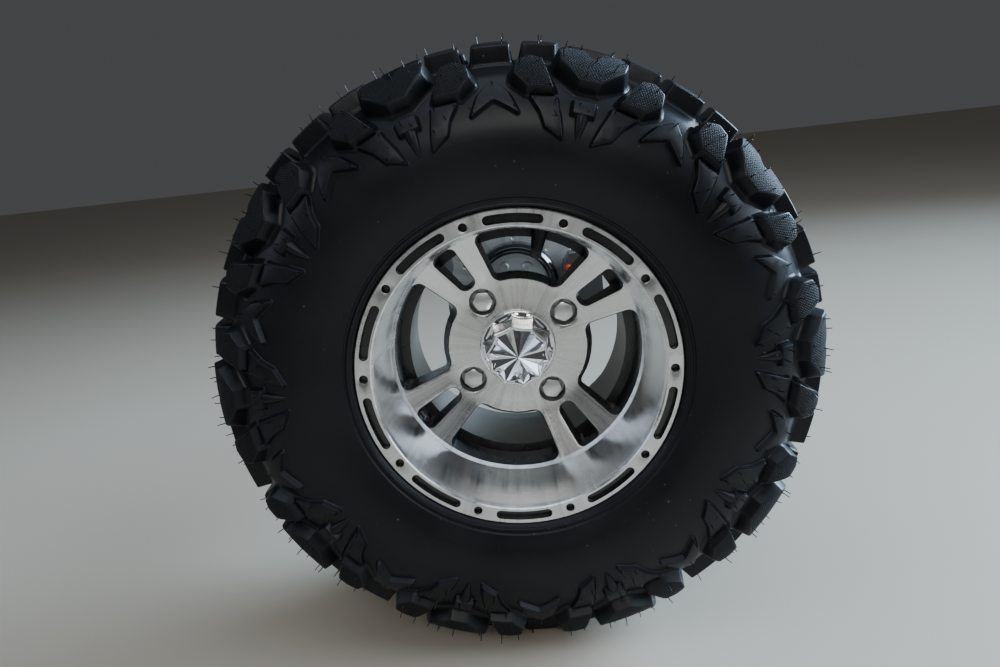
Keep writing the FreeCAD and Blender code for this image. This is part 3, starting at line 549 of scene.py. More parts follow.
@dataclass(frozen=True)
class Rubber(Finish):
    """Moulded rubber, with fine grain, faint bloom and a little dust."""

    shade: Tint = (0.0036, 0.0040, 0.0051)
    roughness: float = 0.37
    skin: Skin = Skin.SMOOTH
    pitch: float = 0.0025
    gloss: float = 0.27
    dust: Tint = (0.16, 0.155, 0.15)
    grain_depth: float = 0.00010
    stud_depth: float = 0.00034
    stud_roughness: float = 0.30

    def paint(self, graph: Graph) -> None:
        """Build the nodes."""
        bloom = graph.noise(9.0, 4.0, 0.6)
        grain = graph.noise(900.0, 2.0, 0.6)
        dust = graph.noise(300.0, 0.0, 0.4).step(0.82, 0.86) * graph.noise(14.0, 2.0).step(0.50, 0.64)
        pale = rgba(self.shade, 1.9, 0.001)
        colour = graph.mix(bloom.step(0.35, 0.7), rgba(self.shade), pale)
        colour = graph.mix(dust * 0.5, colour, rgba(self.dust))
        roughness = (bloom - 0.5) * 0.2 + self.roughness + dust * 0.2
        height, depth = grain * 0.35 + graph.noise(240.0, 2.0) * 0.4, self.grain_depth
        if self.skin is Skin.KNURLED:
            stud = self.studs(graph)
            # Painted shade in the knurl's grooves and painted highlight on its stud tops: the colour runs from a
            # darker copy of the rubber's shade to its pale copy.
            colour = graph.mix(stud, rgba(self.shade, 0.35), pale)
            height, depth = stud + height * 0.1, self.stud_depth
            roughness = roughness + self.stud_roughness
        graph.surface(colour, 0.0, roughness, height, depth, Specular_IOR_Level=self.gloss)

    def studs(self, graph: Graph) -> Socket:
        """Rows of small square studs, 0 in the grooves and 1 on top."""
        across, along, _ = graph.split(graph.marks())
        down, up = (((line / self.pitch).math("FRACT") - 0.5).math("ABSOLUTE")
                    for line in (across + along, across - along))
        return (1.0 - down.math("MAXIMUM", up) * 2.0).step(0.12, 0.62)


@dataclass(frozen=True)
class TurnedAlloy(Finish):
    """Aluminium turned on a lathe: rings of fine marks whose gloss runs across them, and faint chatter; its colour
    is paler along broad rings, the metal's own tone, and in radial chatter wedges, a painted sheen.
    """

    tint: Tint = (0.86, 0.855, 0.845)
    roughness: float = 0.27
    marks: float = 0.00006
    anisotropy: float = 0.75
    across: float = 0.25
    fine: float = 5200.0
    broad: float = 700.0
    chatter_gloss: float = 0.34
    chatter_height: float = 3.6

    def paint(self, graph: Graph) -> None:
        """Build the nodes."""
        flat = graph.place() * (1.0, 1.0, 0.0)
        radius = flat.length()
        chatter = graph.noise(7.0, 5.0, 0.66, flat.math("NORMALIZE"))
        fine, broad = graph.streaks(radius, self.fine, 2.0), graph.streaks(radius, self.broad, 4.0)
        # Colour paler along broad lathe rings (the metal's own tone) and in radial chatter wedges (painted sheen
        # standing for streaked reflections), down to 0.66 of the tint elsewhere.
        painted_sheen_and_ring_tone = broad * 0.3 + chatter.step(0.30, 0.58) * 0.7
        colour = graph.mix(painted_sheen_and_ring_tone, rgba(self.tint, 0.66), rgba(self.tint))
        roughness = (fine - 0.5) * 0.14 + (chatter - 0.5) * self.chatter_gloss + self.roughness
        height = fine * 0.7 + broad * 0.3 + chatter * self.chatter_height
        graph.surface(colour, 1.0, roughness, height, self.marks, 0.6, Anisotropic=self.anisotropy,
                      Anisotropic_Rotation=self.across)


@dataclass(frozen=True)
class BlackPaint(Finish):
    """Semi-gloss black paint over a cast surface."""

    shade: Tint = (0.010, 0.010, 0.011)
    roughness: float = 0.28
    peel: float = 0.00012

    def paint(self, graph: Graph) -> None:
        """Build the nodes."""
        cloud = graph.noise(60.0, 3.0)
        cast = graph.noise(380.0, 3.0)
        colour = graph.mix(cloud.step(0.4, 0.75), rgba(self.shade), rgba(self.shade, 2.2))
        roughness = (cloud - 0.5) * 0.25 + self.roughness
        graph.surface(colour, 0.0, roughness, cast, self.peel, 0.7, Coat_Weight=0.35, Coat_Roughness=0.12)


@dataclass(frozen=True)
class Chrome(Finish):
    """Bright chrome over moulded plastic, with the faint waviness of its mould."""

    roughness: float = 0.035
    dark: Tint = (0.90, 0.905, 0.92)
    pale: Tint = (0.95, 0.95, 0.955)

    def paint(self, graph: Graph) -> None:
        """Build the nodes."""
        wave = graph.noise(70.0, 1.0)
        haze = graph.noise(30.0, 3.0)
        colour = graph.mix(haze, rgba(self.dark), rgba(self.pale))
        graph.surface(colour, 1.0, haze * 0.03 + self.roughness, wave, 0.00022, 0.5)


@dataclass(frozen=True)
class PlatedSteel(Finish):
    """Zinc or nickel plated steel, satin, with faint handling marks."""

    tint: Tint = (0.62, 0.62, 0.60)
    roughness: float = 0.32
    stain: Tint = (0.42, 0.41, 0.38)

    def paint(self, graph: Graph) -> None:
        """Build the nodes."""
        cloud = graph.noise(120.0, 4.0, 0.6)
        scuff = graph.noise(900.0, 2.0)
        colour = graph.mix(cloud.step(0.45, 0.8), rgba(self.tint), rgba(self.stain))
        roughness = (cloud - 0.5) * 0.25 + (scuff - 0.5) * 0.08 + self.roughness
        graph.surface(colour, 1.0, roughness, scuff, 0.000008, 0.5)


@dataclass(frozen=True)
class CastMetal(Finish):
    """Bare or lacquered casting with a sandy skin."""

    tint: Tint = (0.36, 0.36, 0.35)
    roughness: float = 0.48
    grain: float = 0.00025
    metallic: float = 1.0

    def paint(self, graph: Graph) -> None:
        """Build the nodes."""
        sand = graph.noise(700.0, 3.0, 0.65)
        cloud = graph.noise(35.0, 4.0)
        colour = graph.mix(cloud * 0.6 + sand * 0.4, rgba(self.tint, 0.62), rgba(self.tint))
        graph.surface(colour, self.metallic, (sand - 0.5) * 0.3 + self.roughness, sand, self.grain, 0.8)


@dataclass(frozen=True)
class Plastic(Finish):
    """Moulded plastic or soft coloured rubber."""

    shade: Tint = (0.02, 0.02, 0.022)
    roughness: float = 0.38

    def paint(self, graph: Graph) -> None:
        """Build the nodes."""
        grain = graph.noise(1400.0, 2.0)
        colour = graph.mix(graph.noise(90.0, 2.0), rgba(self.shade, 0.75), rgba(self.shade))
        graph.surface(colour, 0.0, (grain - 0.5) * 0.2 + self.roughness, grain, 0.00005, 0.6)


@dataclass(frozen=True)
class FloorTile(Finish):
    """Plain pale floor with a faint polish."""

    dark: Tint = (0.50, 0.435, 0.345)
    pale: Tint = (0.545, 0.475, 0.385)
    roughness: float = 0.46

    def paint(self, graph: Graph) -> None:
        """Build the nodes."""
        cloud = graph.noise(1.6, 4.0)
        colour = graph.mix(cloud, rgba(self.dark), rgba(self.pale))
        graph.surface(colour, 0.0, (cloud - 0.5) * 0.06 + self.roughness, None, Specular_IOR_Level=0.4)


TREAD = Rubber("tread_rubber", "tyre_rubber")
# Paler, bluer copy of the tread rubber's shade for the knurled lug tops: painted highlight where the tops face the
# light.
KNURLED = Rubber("knurled_rubber", "tyre_rubber", shade=(0.0048, 0.0054, 0.0068), skin=Skin.KNURLED, gloss=0.24)
STEM_RUBBER = Rubber("stem_rubber", "valve_rubber", roughness=0.42)
# Three copies of one machined alloy: the ring's darker tint is painted shade and the dish's paler tint is painted
# highlight.
ALLOY_RING = TurnedAlloy("turned_ring", "machined_alloy", tint=(0.80, 0.795, 0.79), roughness=0.30, anisotropy=0.6)
ALLOY_DISH = TurnedAlloy("turned_dish", "machined_alloy", tint=(0.94, 0.945, 0.95), roughness=0.22, anisotropy=0.8)
ALLOY_FACE = TurnedAlloy("turned_face", "machined_alloy", roughness=0.27)
# Darker grey in the nut pockets' walls and floors: painted shade in the recesses around the nuts.
NUT_POCKET_SHADE = CastMetal("nut_pocket_painted_shade", "machined_alloy", tint=(0.50, 0.50, 0.51), roughness=0.4, grain=0.00003)
# Dark brownish tint on the barrel's inside, its tyre seat and the centre bore: painted shade inside the barrel and
# painted reflection of the warm floor on bare aluminium.
BARREL_PAINTED_SHADE = CastMetal("barrel_painted_shade", "machined_alloy", tint=(0.34, 0.315, 0.275), roughness=0.5, grain=0.0001)
BLACK_CASTING = BlackPaint("window_paint", "machined_alloy")
CHROME = Chrome("bright_chrome", "chrome_cap")
NUT_PLATING = PlatedSteel("nut_plating", "nut_steel", tint=(0.80, 0.81, 0.80), roughness=0.36,
                          stain=(0.72, 0.72, 0.70))
ZINC = PlatedSteel("bolt_zinc_plate", "bolt_zinc", tint=(0.95, 0.95, 0.93), roughness=0.42,
                   stain=(0.80, 0.80, 0.78))
PLATE_STEEL = PlatedSteel("hub_plate_steel", "plate_steel", tint=(0.90, 0.90, 0.89), roughness=0.6,
                          stain=(0.84, 0.84, 0.82))
DISC_STEEL = TurnedAlloy("disc_face_steel", "disc_steel", tint=(0.93, 0.91, 0.88), roughness=0.64, anisotropy=0.4)
CUP_PAINT = BlackPaint("cup_paint", "black_cup", roughness=0.12, peel=0.00003)
HUB_PAINT = BlackPaint("hub_paint", "hub_iron", roughness=0.38)
AXLE_STEEL = PlatedSteel("axle_bright_steel", "axle_steel", tint=(0.50, 0.50, 0.49), roughness=0.26)
CARRIER_SKIN = CastMetal("carrier_skin", "carrier_casting", tint=(0.30, 0.30, 0.305), roughness=0.5)
BEARING_STEEL = PlatedSteel("bearing_bright_steel", "bearing_steel", tint=(0.68, 0.68, 0.68), roughness=0.18)
CALIPER_SKIN = CastMetal("caliper_skin", "caliper_casting", tint=(0.34, 0.335, 0.33), roughness=0.42)
LINING = CastMetal("lining_compound", "pad_lining", tint=(0.06, 0.055, 0.05), roughness=0.85, metallic=0.0)
BRACKET_PAINT = BlackPaint("bracket_paint", "bracket_steel", roughness=0.34)
ORANGE = Plastic("orange_soft_rubber", "orange_rubber", shade=(0.85, 0.10, 0.02), roughness=0.45)
BLACK_PLASTIC = Plastic("valve_cap_plastic", "valve_plastic")


# Places

@dataclass(frozen=True)
class WheelFrame:
    """The wheel's own frame, z outboard from the ring's face, and how far its face is turned in it."""

    ring_offset: float = 500.0
    clock: float = 13.2

    def matrix(self) -> Matrix:
        """Where the wheel's frame stands in the row frame, in metres."""
        place = Matrix.Translation((frame["joints"][0]["pos_m"][0], -self.ring_offset * MM, 0.0))
        return place @ Matrix.Rotation(math.radians(90.0), 4, "X")


WHEEL = WheelFrame()


def mount(mesh: Mesh, name: str, finishes: Sequence[Finish], nodes: Sequence[str] = (),
          place: Matrix | None = None, crease: float = 38.0, body: str = "wheel") -> bpy.types.Object:
    """Make a piece, let it ride on a body and stand for the CAD nodes that it replaces.

    Args:
        mesh: its mesh, in millimetres.
        name: its name.
        finishes: the finish of each of the mesh's slots.
        nodes: CAD nodes that it replaces.
        place: where the mesh's frame stands; if not given, the wheel's own frame, turned by its clock.
        crease: angle above which edges stay sharp.
        body: the body that it rides on.

    Returns:
        The piece.
    """
    if place is None:
        mesh.spin(-WHEEL.clock)
        place = WHEEL.matrix()
    piece = mesh.object(name, finishes, place, crease)
    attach(piece, body)
    if nodes:
        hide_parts(*nodes)
    LOG.info("%s: %d triangles on %s", name, sum(len(face) - 2 for face in mesh.faces), body)
    return piece


# Rim
@dataclass(frozen=True)
class Rim:
    """One-piece alloy wheel: ring, deep dish, bowl-shaped face with windows, and barrel."""

    ring_radius: float = 143.0
    ring_inner: float = 128.5
    ring_depth: float = 5.5
    ring_clock: float = 9.5
    ring_hole: float = 3.75
    pocket_circle: float = 135.1
    pocket_length: float = 52.0
    pocket_width: float = 9.0
    bead: float = 131.5
    seat: float = 126.2
    dish_floor: float = 119.5
    face_rim_depth: float = 70.0
    face_hub_depth: float = 86.0
    face_flat: float = 67.0
    face_edge: float = 116.8
    back_depth: float = 96.5
    well_radius: float = 105.0
    well_outside: float = 110.3
    well_end: float = 170.0
    barrel_inner: float = 120.9
    width: float = 227.0
    hub_pad_radius: float = 66.0
    hub_pad_depth: float = 108.0
    bore: float = 33.0
    lug_circle: float = 55.0
    lug_pocket: float = 12.9
    lug_floor: float = 98.0
    lug_bore: float = 8.2
    opening_end: float = 116.3
    window_start: float = 67.5
    window_halves: tuple[float, float] = (25.8, 28.2)
    window_corners: tuple[float, float] = (11.0, 8.0)
    slot_start: float = 73.0
    slot_halves: tuple[float, float] = (7.3, 11.6)
    segments: int = 288
    edge: float = 0.9
    draft: float = 2.2
    hub_draft: float = 5.0
    draft_change: tuple[float, float] = (67.0, 74.0)

    def face_height(self, flat: Loop) -> np.ndarray:
        """Height of the bowl-shaped face."""
        hub, ease = self.face_hub_depth, 4
        return -np.interp(np.hypot(flat[:, 0], flat[:, 1]),
                          [0, self.face_flat - ease, self.face_flat + ease, self.face_edge],
                          [hub, hub, hub - 1.0, self.face_rim_depth])

    def window(self, middle: float) -> Loop:
        """Outline of one large window round an angle."""
        corners: list[tuple[float, ...]] = []
        radii = (self.window_start, self.opening_end)
        ends = zip(radii, self.window_halves, self.window_corners, (9, 15), (1, -1))
        for radius, half, corner, count, sense in ends:
            for angle in np.linspace(-sense * half, sense * half, count):
                corners.append((*polar(radius, middle + angle), corner if abs(angle) > half - 0.1 else 0.0))
        return spaced(self.eased(corners), 3.0)[::-1]

    def narrowed(self, loop: Loop) -> Loop:
        """Outline of a window or slot at its back, smaller by the draft of its walls, most beside the hub."""
        draft = np.interp(np.hypot(loop[:, 0], loop[:, 1]), self.draft_change, [self.hub_draft, self.draft])
        return loop - outward(loop) * draft[:, None]

    def eased(self, corners: Rows) -> Loop:
        """Outline whose rounded corners may take in the arc points beside them."""
        marked = [row for row in corners if row[2] > 0]
        kept = [row for row in corners
                if not any(row is not m and math.dist(row[:2], m[:2]) < m[2] * 1.05 for m in marked)]
        return rounded(kept, True, 10.0)

    def slot(self, middle: float) -> Loop:
        """Outline of one diagonal slot: round at its inner end, wider at its outer end."""
        inner, outer, (narrow, wide) = self.slot_start, self.opening_end, self.slot_halves
        rows = [(inner, -narrow, 7.0), (outer - 0.6, -wide, 5.5), (outer, 0.0, 0.0), (outer - 0.6, wide, 5.5),
                (inner, narrow, 7.0)]
        c, s = polar(1.0, middle)
        return spaced(rounded([(x * c - y * s, x * s + y * c, r) for x, y, r in rows], True, 10.0), 3.0)

    def pocket(self, middle: float) -> Loop:
        """Outline of one long pocket of the ring, with round ends."""
        end = self.pocket_width / 2
        half = math.degrees((self.pocket_length - self.pocket_width) / 2 / self.pocket_circle)
        rows = []
        for sense in (1, -1):
            side = self.pocket_circle - sense * end
            rows += [polar(side, middle + sense * a) for a in np.linspace(-half, half, 12)]
            out = np.array(polar(1.0, middle + sense * half))
            along = np.array((-out[1], out[0]))
            for a in np.radians(np.arange(15, 180, 15)):
                rows.append(self.pocket_circle * out + sense * end * (-math.cos(a) * out + math.sin(a) * along))
        return np.array(rows)

    def openings(self) -> list[Loop]:
        """Windows and slots."""
        return [self.window(90.0 * i) for i in range(4)] + [self.slot(45.0 + 90.0 * i) for i in range(4)]

    def grid(self, low: float, high: float, spacing: float) -> Loop:
        """Points spread over a ring for triangles to use."""
        return np.vstack([circle(radius, max(12, int(2 * np.pi * radius / spacing)), start=row * 1.7)
                          for row, radius in enumerate(np.arange(low, high, spacing))])

    def ring_face(self, mesh: Mesh) -> None:
        """Flat ring with its pockets and holes."""
        holes = []
        rise, fillet, floor = 0.5, 0.8, -self.ring_depth
        for index in range(10):
            angle = self.ring_clock + 36.0 * index
            hole = circle(self.ring_hole, 28, *polar(self.pocket_circle, angle))
            for outline in (self.pocket(angle + 18.0), hole):
                holes.append(grown(outline, rise))
                mesh.wall(outline, [(rise, 0.0), (0.15, -0.15), (0.0, -rise)], 0)
                mesh.wall(outline, [(0.0, -rise), (0.0, floor + fillet),
                                    (-fillet, floor)], 2)
                mesh.cap(grown(outline, -fillet), [], floor, 2)
        outer = circle(self.ring_radius - 0.8, self.segments)
        inner = circle(self.ring_inner + 0.7, self.segments)
        mesh.cap(outer, [inner, *holes], 0.0, 0)

    def turned(self, mesh: Mesh) -> None:
        """Everything turned about the axle: ring edges, dish, barrel and inboard flange."""
        rim, width, inner, bead, seat = self.ring_radius, self.width, self.barrel_inner, self.bead, self.seat
        well, end, count = self.well_radius, self.well_end, self.segments
        lip = [(rim - 0.8, 0.0), (rim, -0.8, 0.0), (rim, -8.0, 2.0), (bead, -9.0, 1.5), (seat, -13.0)]
        dish = [(self.ring_inner + 0.7, 0.0), (self.ring_inner - 0.4, -0.9, 1.0), (126.6, -5.0, 5.0),
                (122.2, -35.0, 200.0), (self.dish_floor, -66.0, 3.5), (self.face_edge, -self.face_rim_depth)]
        barrel = [(well, -self.back_depth), (well, -end, 5.0), (inner, -end - 6.0, 5.0),
                  (inner, -width + 1.5, 1.0), (inner + 2.0, -width, 1.0), (rim - 1.0, -width, 1.0),
                  (rim, -width + 1.0, 1.0), (rim, -219.5, 1.5), (bead, -218.0, 1.5), (seat, -214.0)]
        outside = [(seat, -214.0), (seat, -168.0), (self.well_outside, -168.0), (self.well_outside, -103.0),
                   (seat, -103.0), (seat, -13.0)]
        mesh.turned(lip, count, 0)
        mesh.turned(dish, count, 1, 10.0, 6.0)
        mesh.turned(barrel, count, 4, 12.0, 12.0)
        mesh.lathe(np.array(outside), 96, 4)
        mesh.lathe(np.array([(self.bore, -self.face_hub_depth), (self.bore, -self.hub_pad_depth)]), count, 4)

    def spokes(self, mesh: Mesh) -> None:
        """Bowl-shaped face with windows, slots and nut pockets, and its back with the hub pad."""
        openings = self.openings()
        places = [polar(self.lug_circle, 45.0 + 90.0 * i) for i in range(4)]
        lugs = [circle(self.lug_pocket, 64, *place) for place in places]
        bores = [circle(self.lug_bore, 64, *place) for place in places]
        centre = circle(self.bore, self.segments)
        front = [grown(loop, self.edge) for loop in openings] + [grown(loop, 0.6) for loop in lugs]
        mesh.cap(circle(self.face_edge, self.segments), [centre, *front], self.face_height, 3,
                 self.grid(self.bore + 3, self.face_edge - 2, 4.0))
        for loop in openings:
            self.opening(mesh, loop)
        for lug, bore in zip(lugs, bores):
            self.nut_pocket(mesh, lug, bore)
        pad, well = circle(self.hub_pad_radius, self.segments), circle(self.well_radius, self.segments)
        back = -self.back_depth
        mesh.cap(pad, [centre, *bores], -self.hub_pad_depth, 2)
        mesh.wall(pad, [(0.0, -self.hub_pad_depth), (0.0, back)], 2)
        behind = [self.narrowed(loop) for loop in openings]
        mesh.cap(well, [pad, *behind], back, 2)
        for loop in behind:
            mesh.cap(loop, [well], back, 2)

    def opening(self, mesh: Mesh, loop: Loop) -> None:
        """Rounded edge and wall of a window or slot."""
        edge = self.edge
        rows = [(edge * (1 - math.sin(a)), lambda flat, a=a: self.face_height(flat) - edge * (1 - math.cos(a)))
                for a in np.radians(ARC)]
        mesh.wall(loop, rows, 2)
        mesh.strip([at_height(loop, self.face_height(loop) - edge),
                    at_height(self.narrowed(loop), -self.back_depth)], 2)

    def nut_pocket(self, mesh: Mesh, lug: Loop, bore: Loop) -> None:
        """Round pocket for a nut, with its floor and bore."""
        top, floor = -self.face_hub_depth - 0.6, -self.lug_floor
        mesh.wall(lug, [(0.6, self.face_height), (0.2, top + 0.4), (0.0, top)], 3)
        mesh.wall(lug, [(0.0, top), (0.0, floor + 1.0), (-1.0, floor)], 5)
        mesh.cap(grown(lug, -1.0), [bore], floor, 5)
        mesh.wall(bore, [(0.0, floor), (0.0, -self.hub_pad_depth)], 5)

    def build(self) -> None:
        """Make the rim."""
        mesh = Mesh()
        self.ring_face(mesh)
        self.turned(mesh)
        self.spokes(mesh)
        mount(mesh, "rim_alloy", [ALLOY_RING, ALLOY_DISH, BLACK_CASTING, ALLOY_FACE, BARREL_PAINTED_SHADE, NUT_POCKET_SHADE],
              ["rim"], crease=32.0)


# Tyre
@dataclass(frozen=True)
class Lug:
    """One raised form of the tread.

    The rows of its outline are degrees from its pitch's middle, radius of its top, and corner radius; rows of
    a crown lug hold the distance from the tyre's middle plane in place of the radius.
    """

    outline: Rows
    rise: float = 0.0
    crown: bool = False
    knurled: bool = False
    edge: float = 1.3
    draft: float = 0.22
    foot: float = 3.2
    whiskers: int = 3
    paired: bool = False
    single: bool = False


@dataclass(frozen=True)
class Tyre:
    """Tubeless tyre with ten tread pitches on each shoulder."""

    pitches: int = 10
    clock: float = 12.3
    middle: float = 113.5
    segments: int = 300
    seed: int = 7
    inner_segments: int = 120
    samples: int = 900
    smoothing: int = 12
    reach: float = 40.0
    no_top: float = 3.0
    sunk: float = 0.35
    lug_spacing: float = 5.0
    lug_arc: float = 22.5
    grid_step: float = 6.0
    fang_span: tuple[float, float] = (200.5, 224.6)
    fang_half: float = 6.3
    fang_tall: float = 6.4
    hair_inset: float = 2.2
    hair_lean: float = 0.16
    hair_bend: float = 0.22
    hair_length: tuple[float, float] = (4.0, 8.0)
    hair_broken: float = 0.12
    hair_stub: float = 1.6
    hair_root: float = 0.8
    hair_radius: float = 0.52

    def base_profile(self) -> Loop:
        """Carcass from the bead to the crown as radius and distance from the middle plane."""
        corners = [(143.4, 104.6), (143.4, 111.5, 1.5), (146.2, 114.2, 1.0), (147.6, 116.8, 0.8),
                   (149.3, 117.2, 0.8), (150.2, 116.2, 0.5), (151.8, 116.6, 0.5), (152.8, 118.0, 0.8),
                   (154.5, 118.5, 1.0), (170.0, 124.0, 60.0), (190.0, 127.0, 90.0), (211.0, 124.8, 70.0),
                   (231.0, 117.4, 60.0), (247.0, 105.6, 30.0), (257.0, 87.0, 40.0), (262.0, 50.0, 120.0),
                   (263.6, 0.0)]
        return spaced(rounded(corners, False, 6.0), 4.0, False)

    def top_profile(self) -> Loop:
        """Envelope of the high lugs' tops."""
        corners = [(226.0, 126.8), (238.0, 124.2, 60.0), (249.0, 120.4, 40.0), (259.0, 114.4, 26.0),
                   (266.5, 105.6, 20.0), (271.0, 94.0, 24.0), (275.4, 72.0, 80.0), (278.6, 36.0, 120.0),
                   (279.4, 0.0)]
        return spaced(rounded(corners, False, 5.0), 3.0, False)

    def tables(self) -> Table:
        """Carcass points, their normals and the height of the lug tops, by distance along the carcass."""
        line = self.base_profile()
        length = np.concatenate([[0], np.cumsum(np.linalg.norm(np.diff(line, axis=0), axis=1))])
        fine = np.linspace(0, length[-1], self.samples)
        radius, width = (np.interp(fine, length, line[:, k]) for k in (0, 1))
        run = np.stack([np.gradient(radius, fine), np.gradient(width, fine)], 1)
        kernel = np.ones(2 * self.smoothing + 1) / (2 * self.smoothing + 1)
        padded = np.pad(run, ((self.smoothing, self.smoothing), (0, 0)), mode="edge")
        run = unit(np.stack([np.convolve(padded[:, k], kernel, "valid") for k in (0, 1)], 1))
        out, side = -run[:, 1], run[:, 0]
        top = self.top_profile()
        rise = np.array([self.distance_along(np.array(row[:2]), np.array(row[2:]), top)
                         for row in zip(radius, width, out, side)])
        return {"along": fine, "radius": radius, "width": width, "out": out, "side": side, "rise": rise}

    def distance_along(self, start: np.ndarray, way: np.ndarray, line: Loop) -> float:
        """Distance from a point, in a direction, to a line, or that of no top where they don't meet."""
        edge = line[1:] - line[:-1]
        gap = line[:-1] - start
        cross = way[0] * edge[:, 1] - way[1] * edge[:, 0]
        cross = np.where(np.abs(cross) < SMALL, SMALL, cross)
        reach = (gap[:, 0] * edge[:, 1] - gap[:, 1] * edge[:, 0]) / cross
        share = (gap[:, 0] * way[1] - gap[:, 1] * way[0]) / cross
        hits = reach[(share >= -1e-6) & (share <= 1 + 1e-6) & (reach > 0) & (reach < self.reach)]
        return float(hits.min()) if len(hits) else self.no_top

    def at(self, table: Table, turn: Any, along: np.ndarray, height: Any) -> np.ndarray:
        """Points in the wheel's frame, with the tyre's middle plane at z of 0.

        Args:
            table: what tables() gives.
            turn: angles in radians.
            along: distances along the carcass.
            height: distances out from it.

        Returns:
            Rows of x, y and z.
        """
        radius, width, out, side = (np.interp(along, table["along"], table[key])
                                    for key in ("radius", "width", "out", "side"))
        return around(radius + out * height, turn, width + side * height)

    def tops(self, table: Table, lug: Lug, along: np.ndarray) -> np.ndarray:
        """Height of a lug's top at distances along the carcass."""
        return np.full(len(along), lug.rise) if lug.rise else np.interp(along, table["along"], table["rise"])

    def reaching(self, table: Table, radius: np.ndarray, wanted: Iterable[float]) -> list[float]:
        """Distances along the carcass at which a radius that grows along it has the wanted values."""
        grow = np.maximum.accumulate(radius) + np.arange(len(radius)) * 1e-7
        return [float(np.interp(value, grow, table["along"])) for value in wanted]

    def lugs(self) -> list[Lug]:
        """Raised forms of one pitch on one shoulder."""
        block = [(-1.9, 247.5, 1.2), (-5.9, 262.5, 2.0), (-6.3, 269.8, 1.0), (-5.0, 272.6, 1.0),
                 (-1.7, 272.2, 1.2), (0.0, 264.0, 2.5), (1.7, 272.2, 1.2), (5.0, 272.6, 1.0), (6.3, 269.8, 1.0),
                 (5.9, 262.5, 2.0), (1.9, 247.5, 1.2)]
        shoulder = [(6.4, 239.0, 1.0), (11.6, 239.0, 1.4), (14.1, 249.5, 2.2), (13.6, 259.5, 2.4),
                    (11.2, 264.0, 2.4), (9.0, 262.0, 2.4)]
        leaf = [(3.3, 200.8, 0.4), (7.4, 209.5, 1.0), (8.7, 221.0, 6.0), (10.9, 232.4, 0.8), (5.6, 232.8, 0.8),
                (5.2, 226.0, 1.0), (4.3, 216.0, 8.0)]
        arrow = [(18.0, 245.5, 2.5), (15.0, 234.5, 12.0), (13.0, 219.0, 0.5), (18.0, 230.6, 2.5),
                 (23.0, 219.0, 0.5), (21.0, 234.5, 12.0)]
        pad = [(-2.1, 223.0, 0.6), (2.1, 223.0, 0.6), (2.15, 232.8, 0.8), (-2.15, 232.8, 0.8)]
        flank = [(6.6, 80.0, 2.0), (12.6, 84.0, 2.0), (12.2, 46.0, 2.0), (5.8, 42.0, 2.0)]
        bar = [(14.6, 87.0, 2.0), (21.4, 87.0, 2.0), (20.8, 14.0, 2.0), (15.2, 14.0, 2.0)]
        centre = [(-4.9, 22.0, 2.0), (3.3, 14.0, 2.0), (4.9, -22.0, 2.0), (-3.3, -14.0, 2.0)]
        return [
            Lug(block, knurled=True, foot=5.0, draft=0.38, whiskers=8),
            Lug(shoulder, knurled=True, foot=4.0, draft=0.40, whiskers=4, paired=True),
            Lug(leaf, rise=4.4, foot=1.2, draft=0.50, edge=0.5, whiskers=5, paired=True),
            Lug(arrow, rise=4.6, foot=1.3, draft=0.50, edge=0.5, whiskers=3),
            Lug(pad, rise=6.0, foot=1.3, draft=0.42, edge=0.5, whiskers=2),
            Lug(flank, crown=True, whiskers=2, paired=True),
            Lug(bar, crown=True, whiskers=3),
            Lug(centre, crown=True, whiskers=1, single=True),
        ]

    def placed(self, lug: Lug, table: Table, sense: int) -> tuple[Loop, float]:
        """A lug's outline in millimetres along the tread and the carcass, and the radius that it is rolled at."""
        rise, limit = self.tops(table, lug, table["along"]), table["along"][-1]
        radius = table["radius"] + table["out"] * rise
        if lug.crown:
            width = table["width"] + table["side"] * rise
            order = np.argsort(width)
            found = [float(np.interp(abs(row[1]), width[order], table["along"][order])) for row in lug.outline]
            where = [a if row[1] >= 0 else 2 * limit - a for a, row in zip(found, lug.outline)]
        else:
            where = self.reaching(table, radius, [row[1] for row in lug.outline])
        roll = float(np.interp(min(float(np.mean(where)), limit), table["along"], radius))
        corners = [(sense * math.radians(row[0]) * roll, a, row[2]) for row, a in zip(lug.outline, where)]
        loop = spaced(rounded(corners, True, self.lug_arc), self.lug_spacing)
        return (loop if area(loop) > 0 else loop[::-1]), roll

    def fold(self, along: np.ndarray, table: Table) -> tuple[np.ndarray, np.ndarray]:
        """Distances past the crown's middle folded back, and which side of it they are on."""
        limit = table["along"][-1]
        return np.where(along > limit, 2 * limit - along, along), np.where(along > limit, -1.0, 1.0)

    def raise_lug(self, mesh: Mesh, lug: Lug, table: Table, sense: int) -> np.ndarray:
        """Add one lug and return where its whiskers stand, as rows of place and direction."""
        loop, roll = self.placed(lug, table, sense)
        push = outward(loop)

        def lifted(flat: Loop, level: Callable[[np.ndarray], np.ndarray]) -> np.ndarray:
            """Points of the plane rolled onto the tread at a height."""
            along, side = self.fold(flat[:, 1], table)
            points = self.at(table, flat[:, 0] / roll, along, level(self.tops(table, lug, along)))
            points[:, 2] *= side
            return points

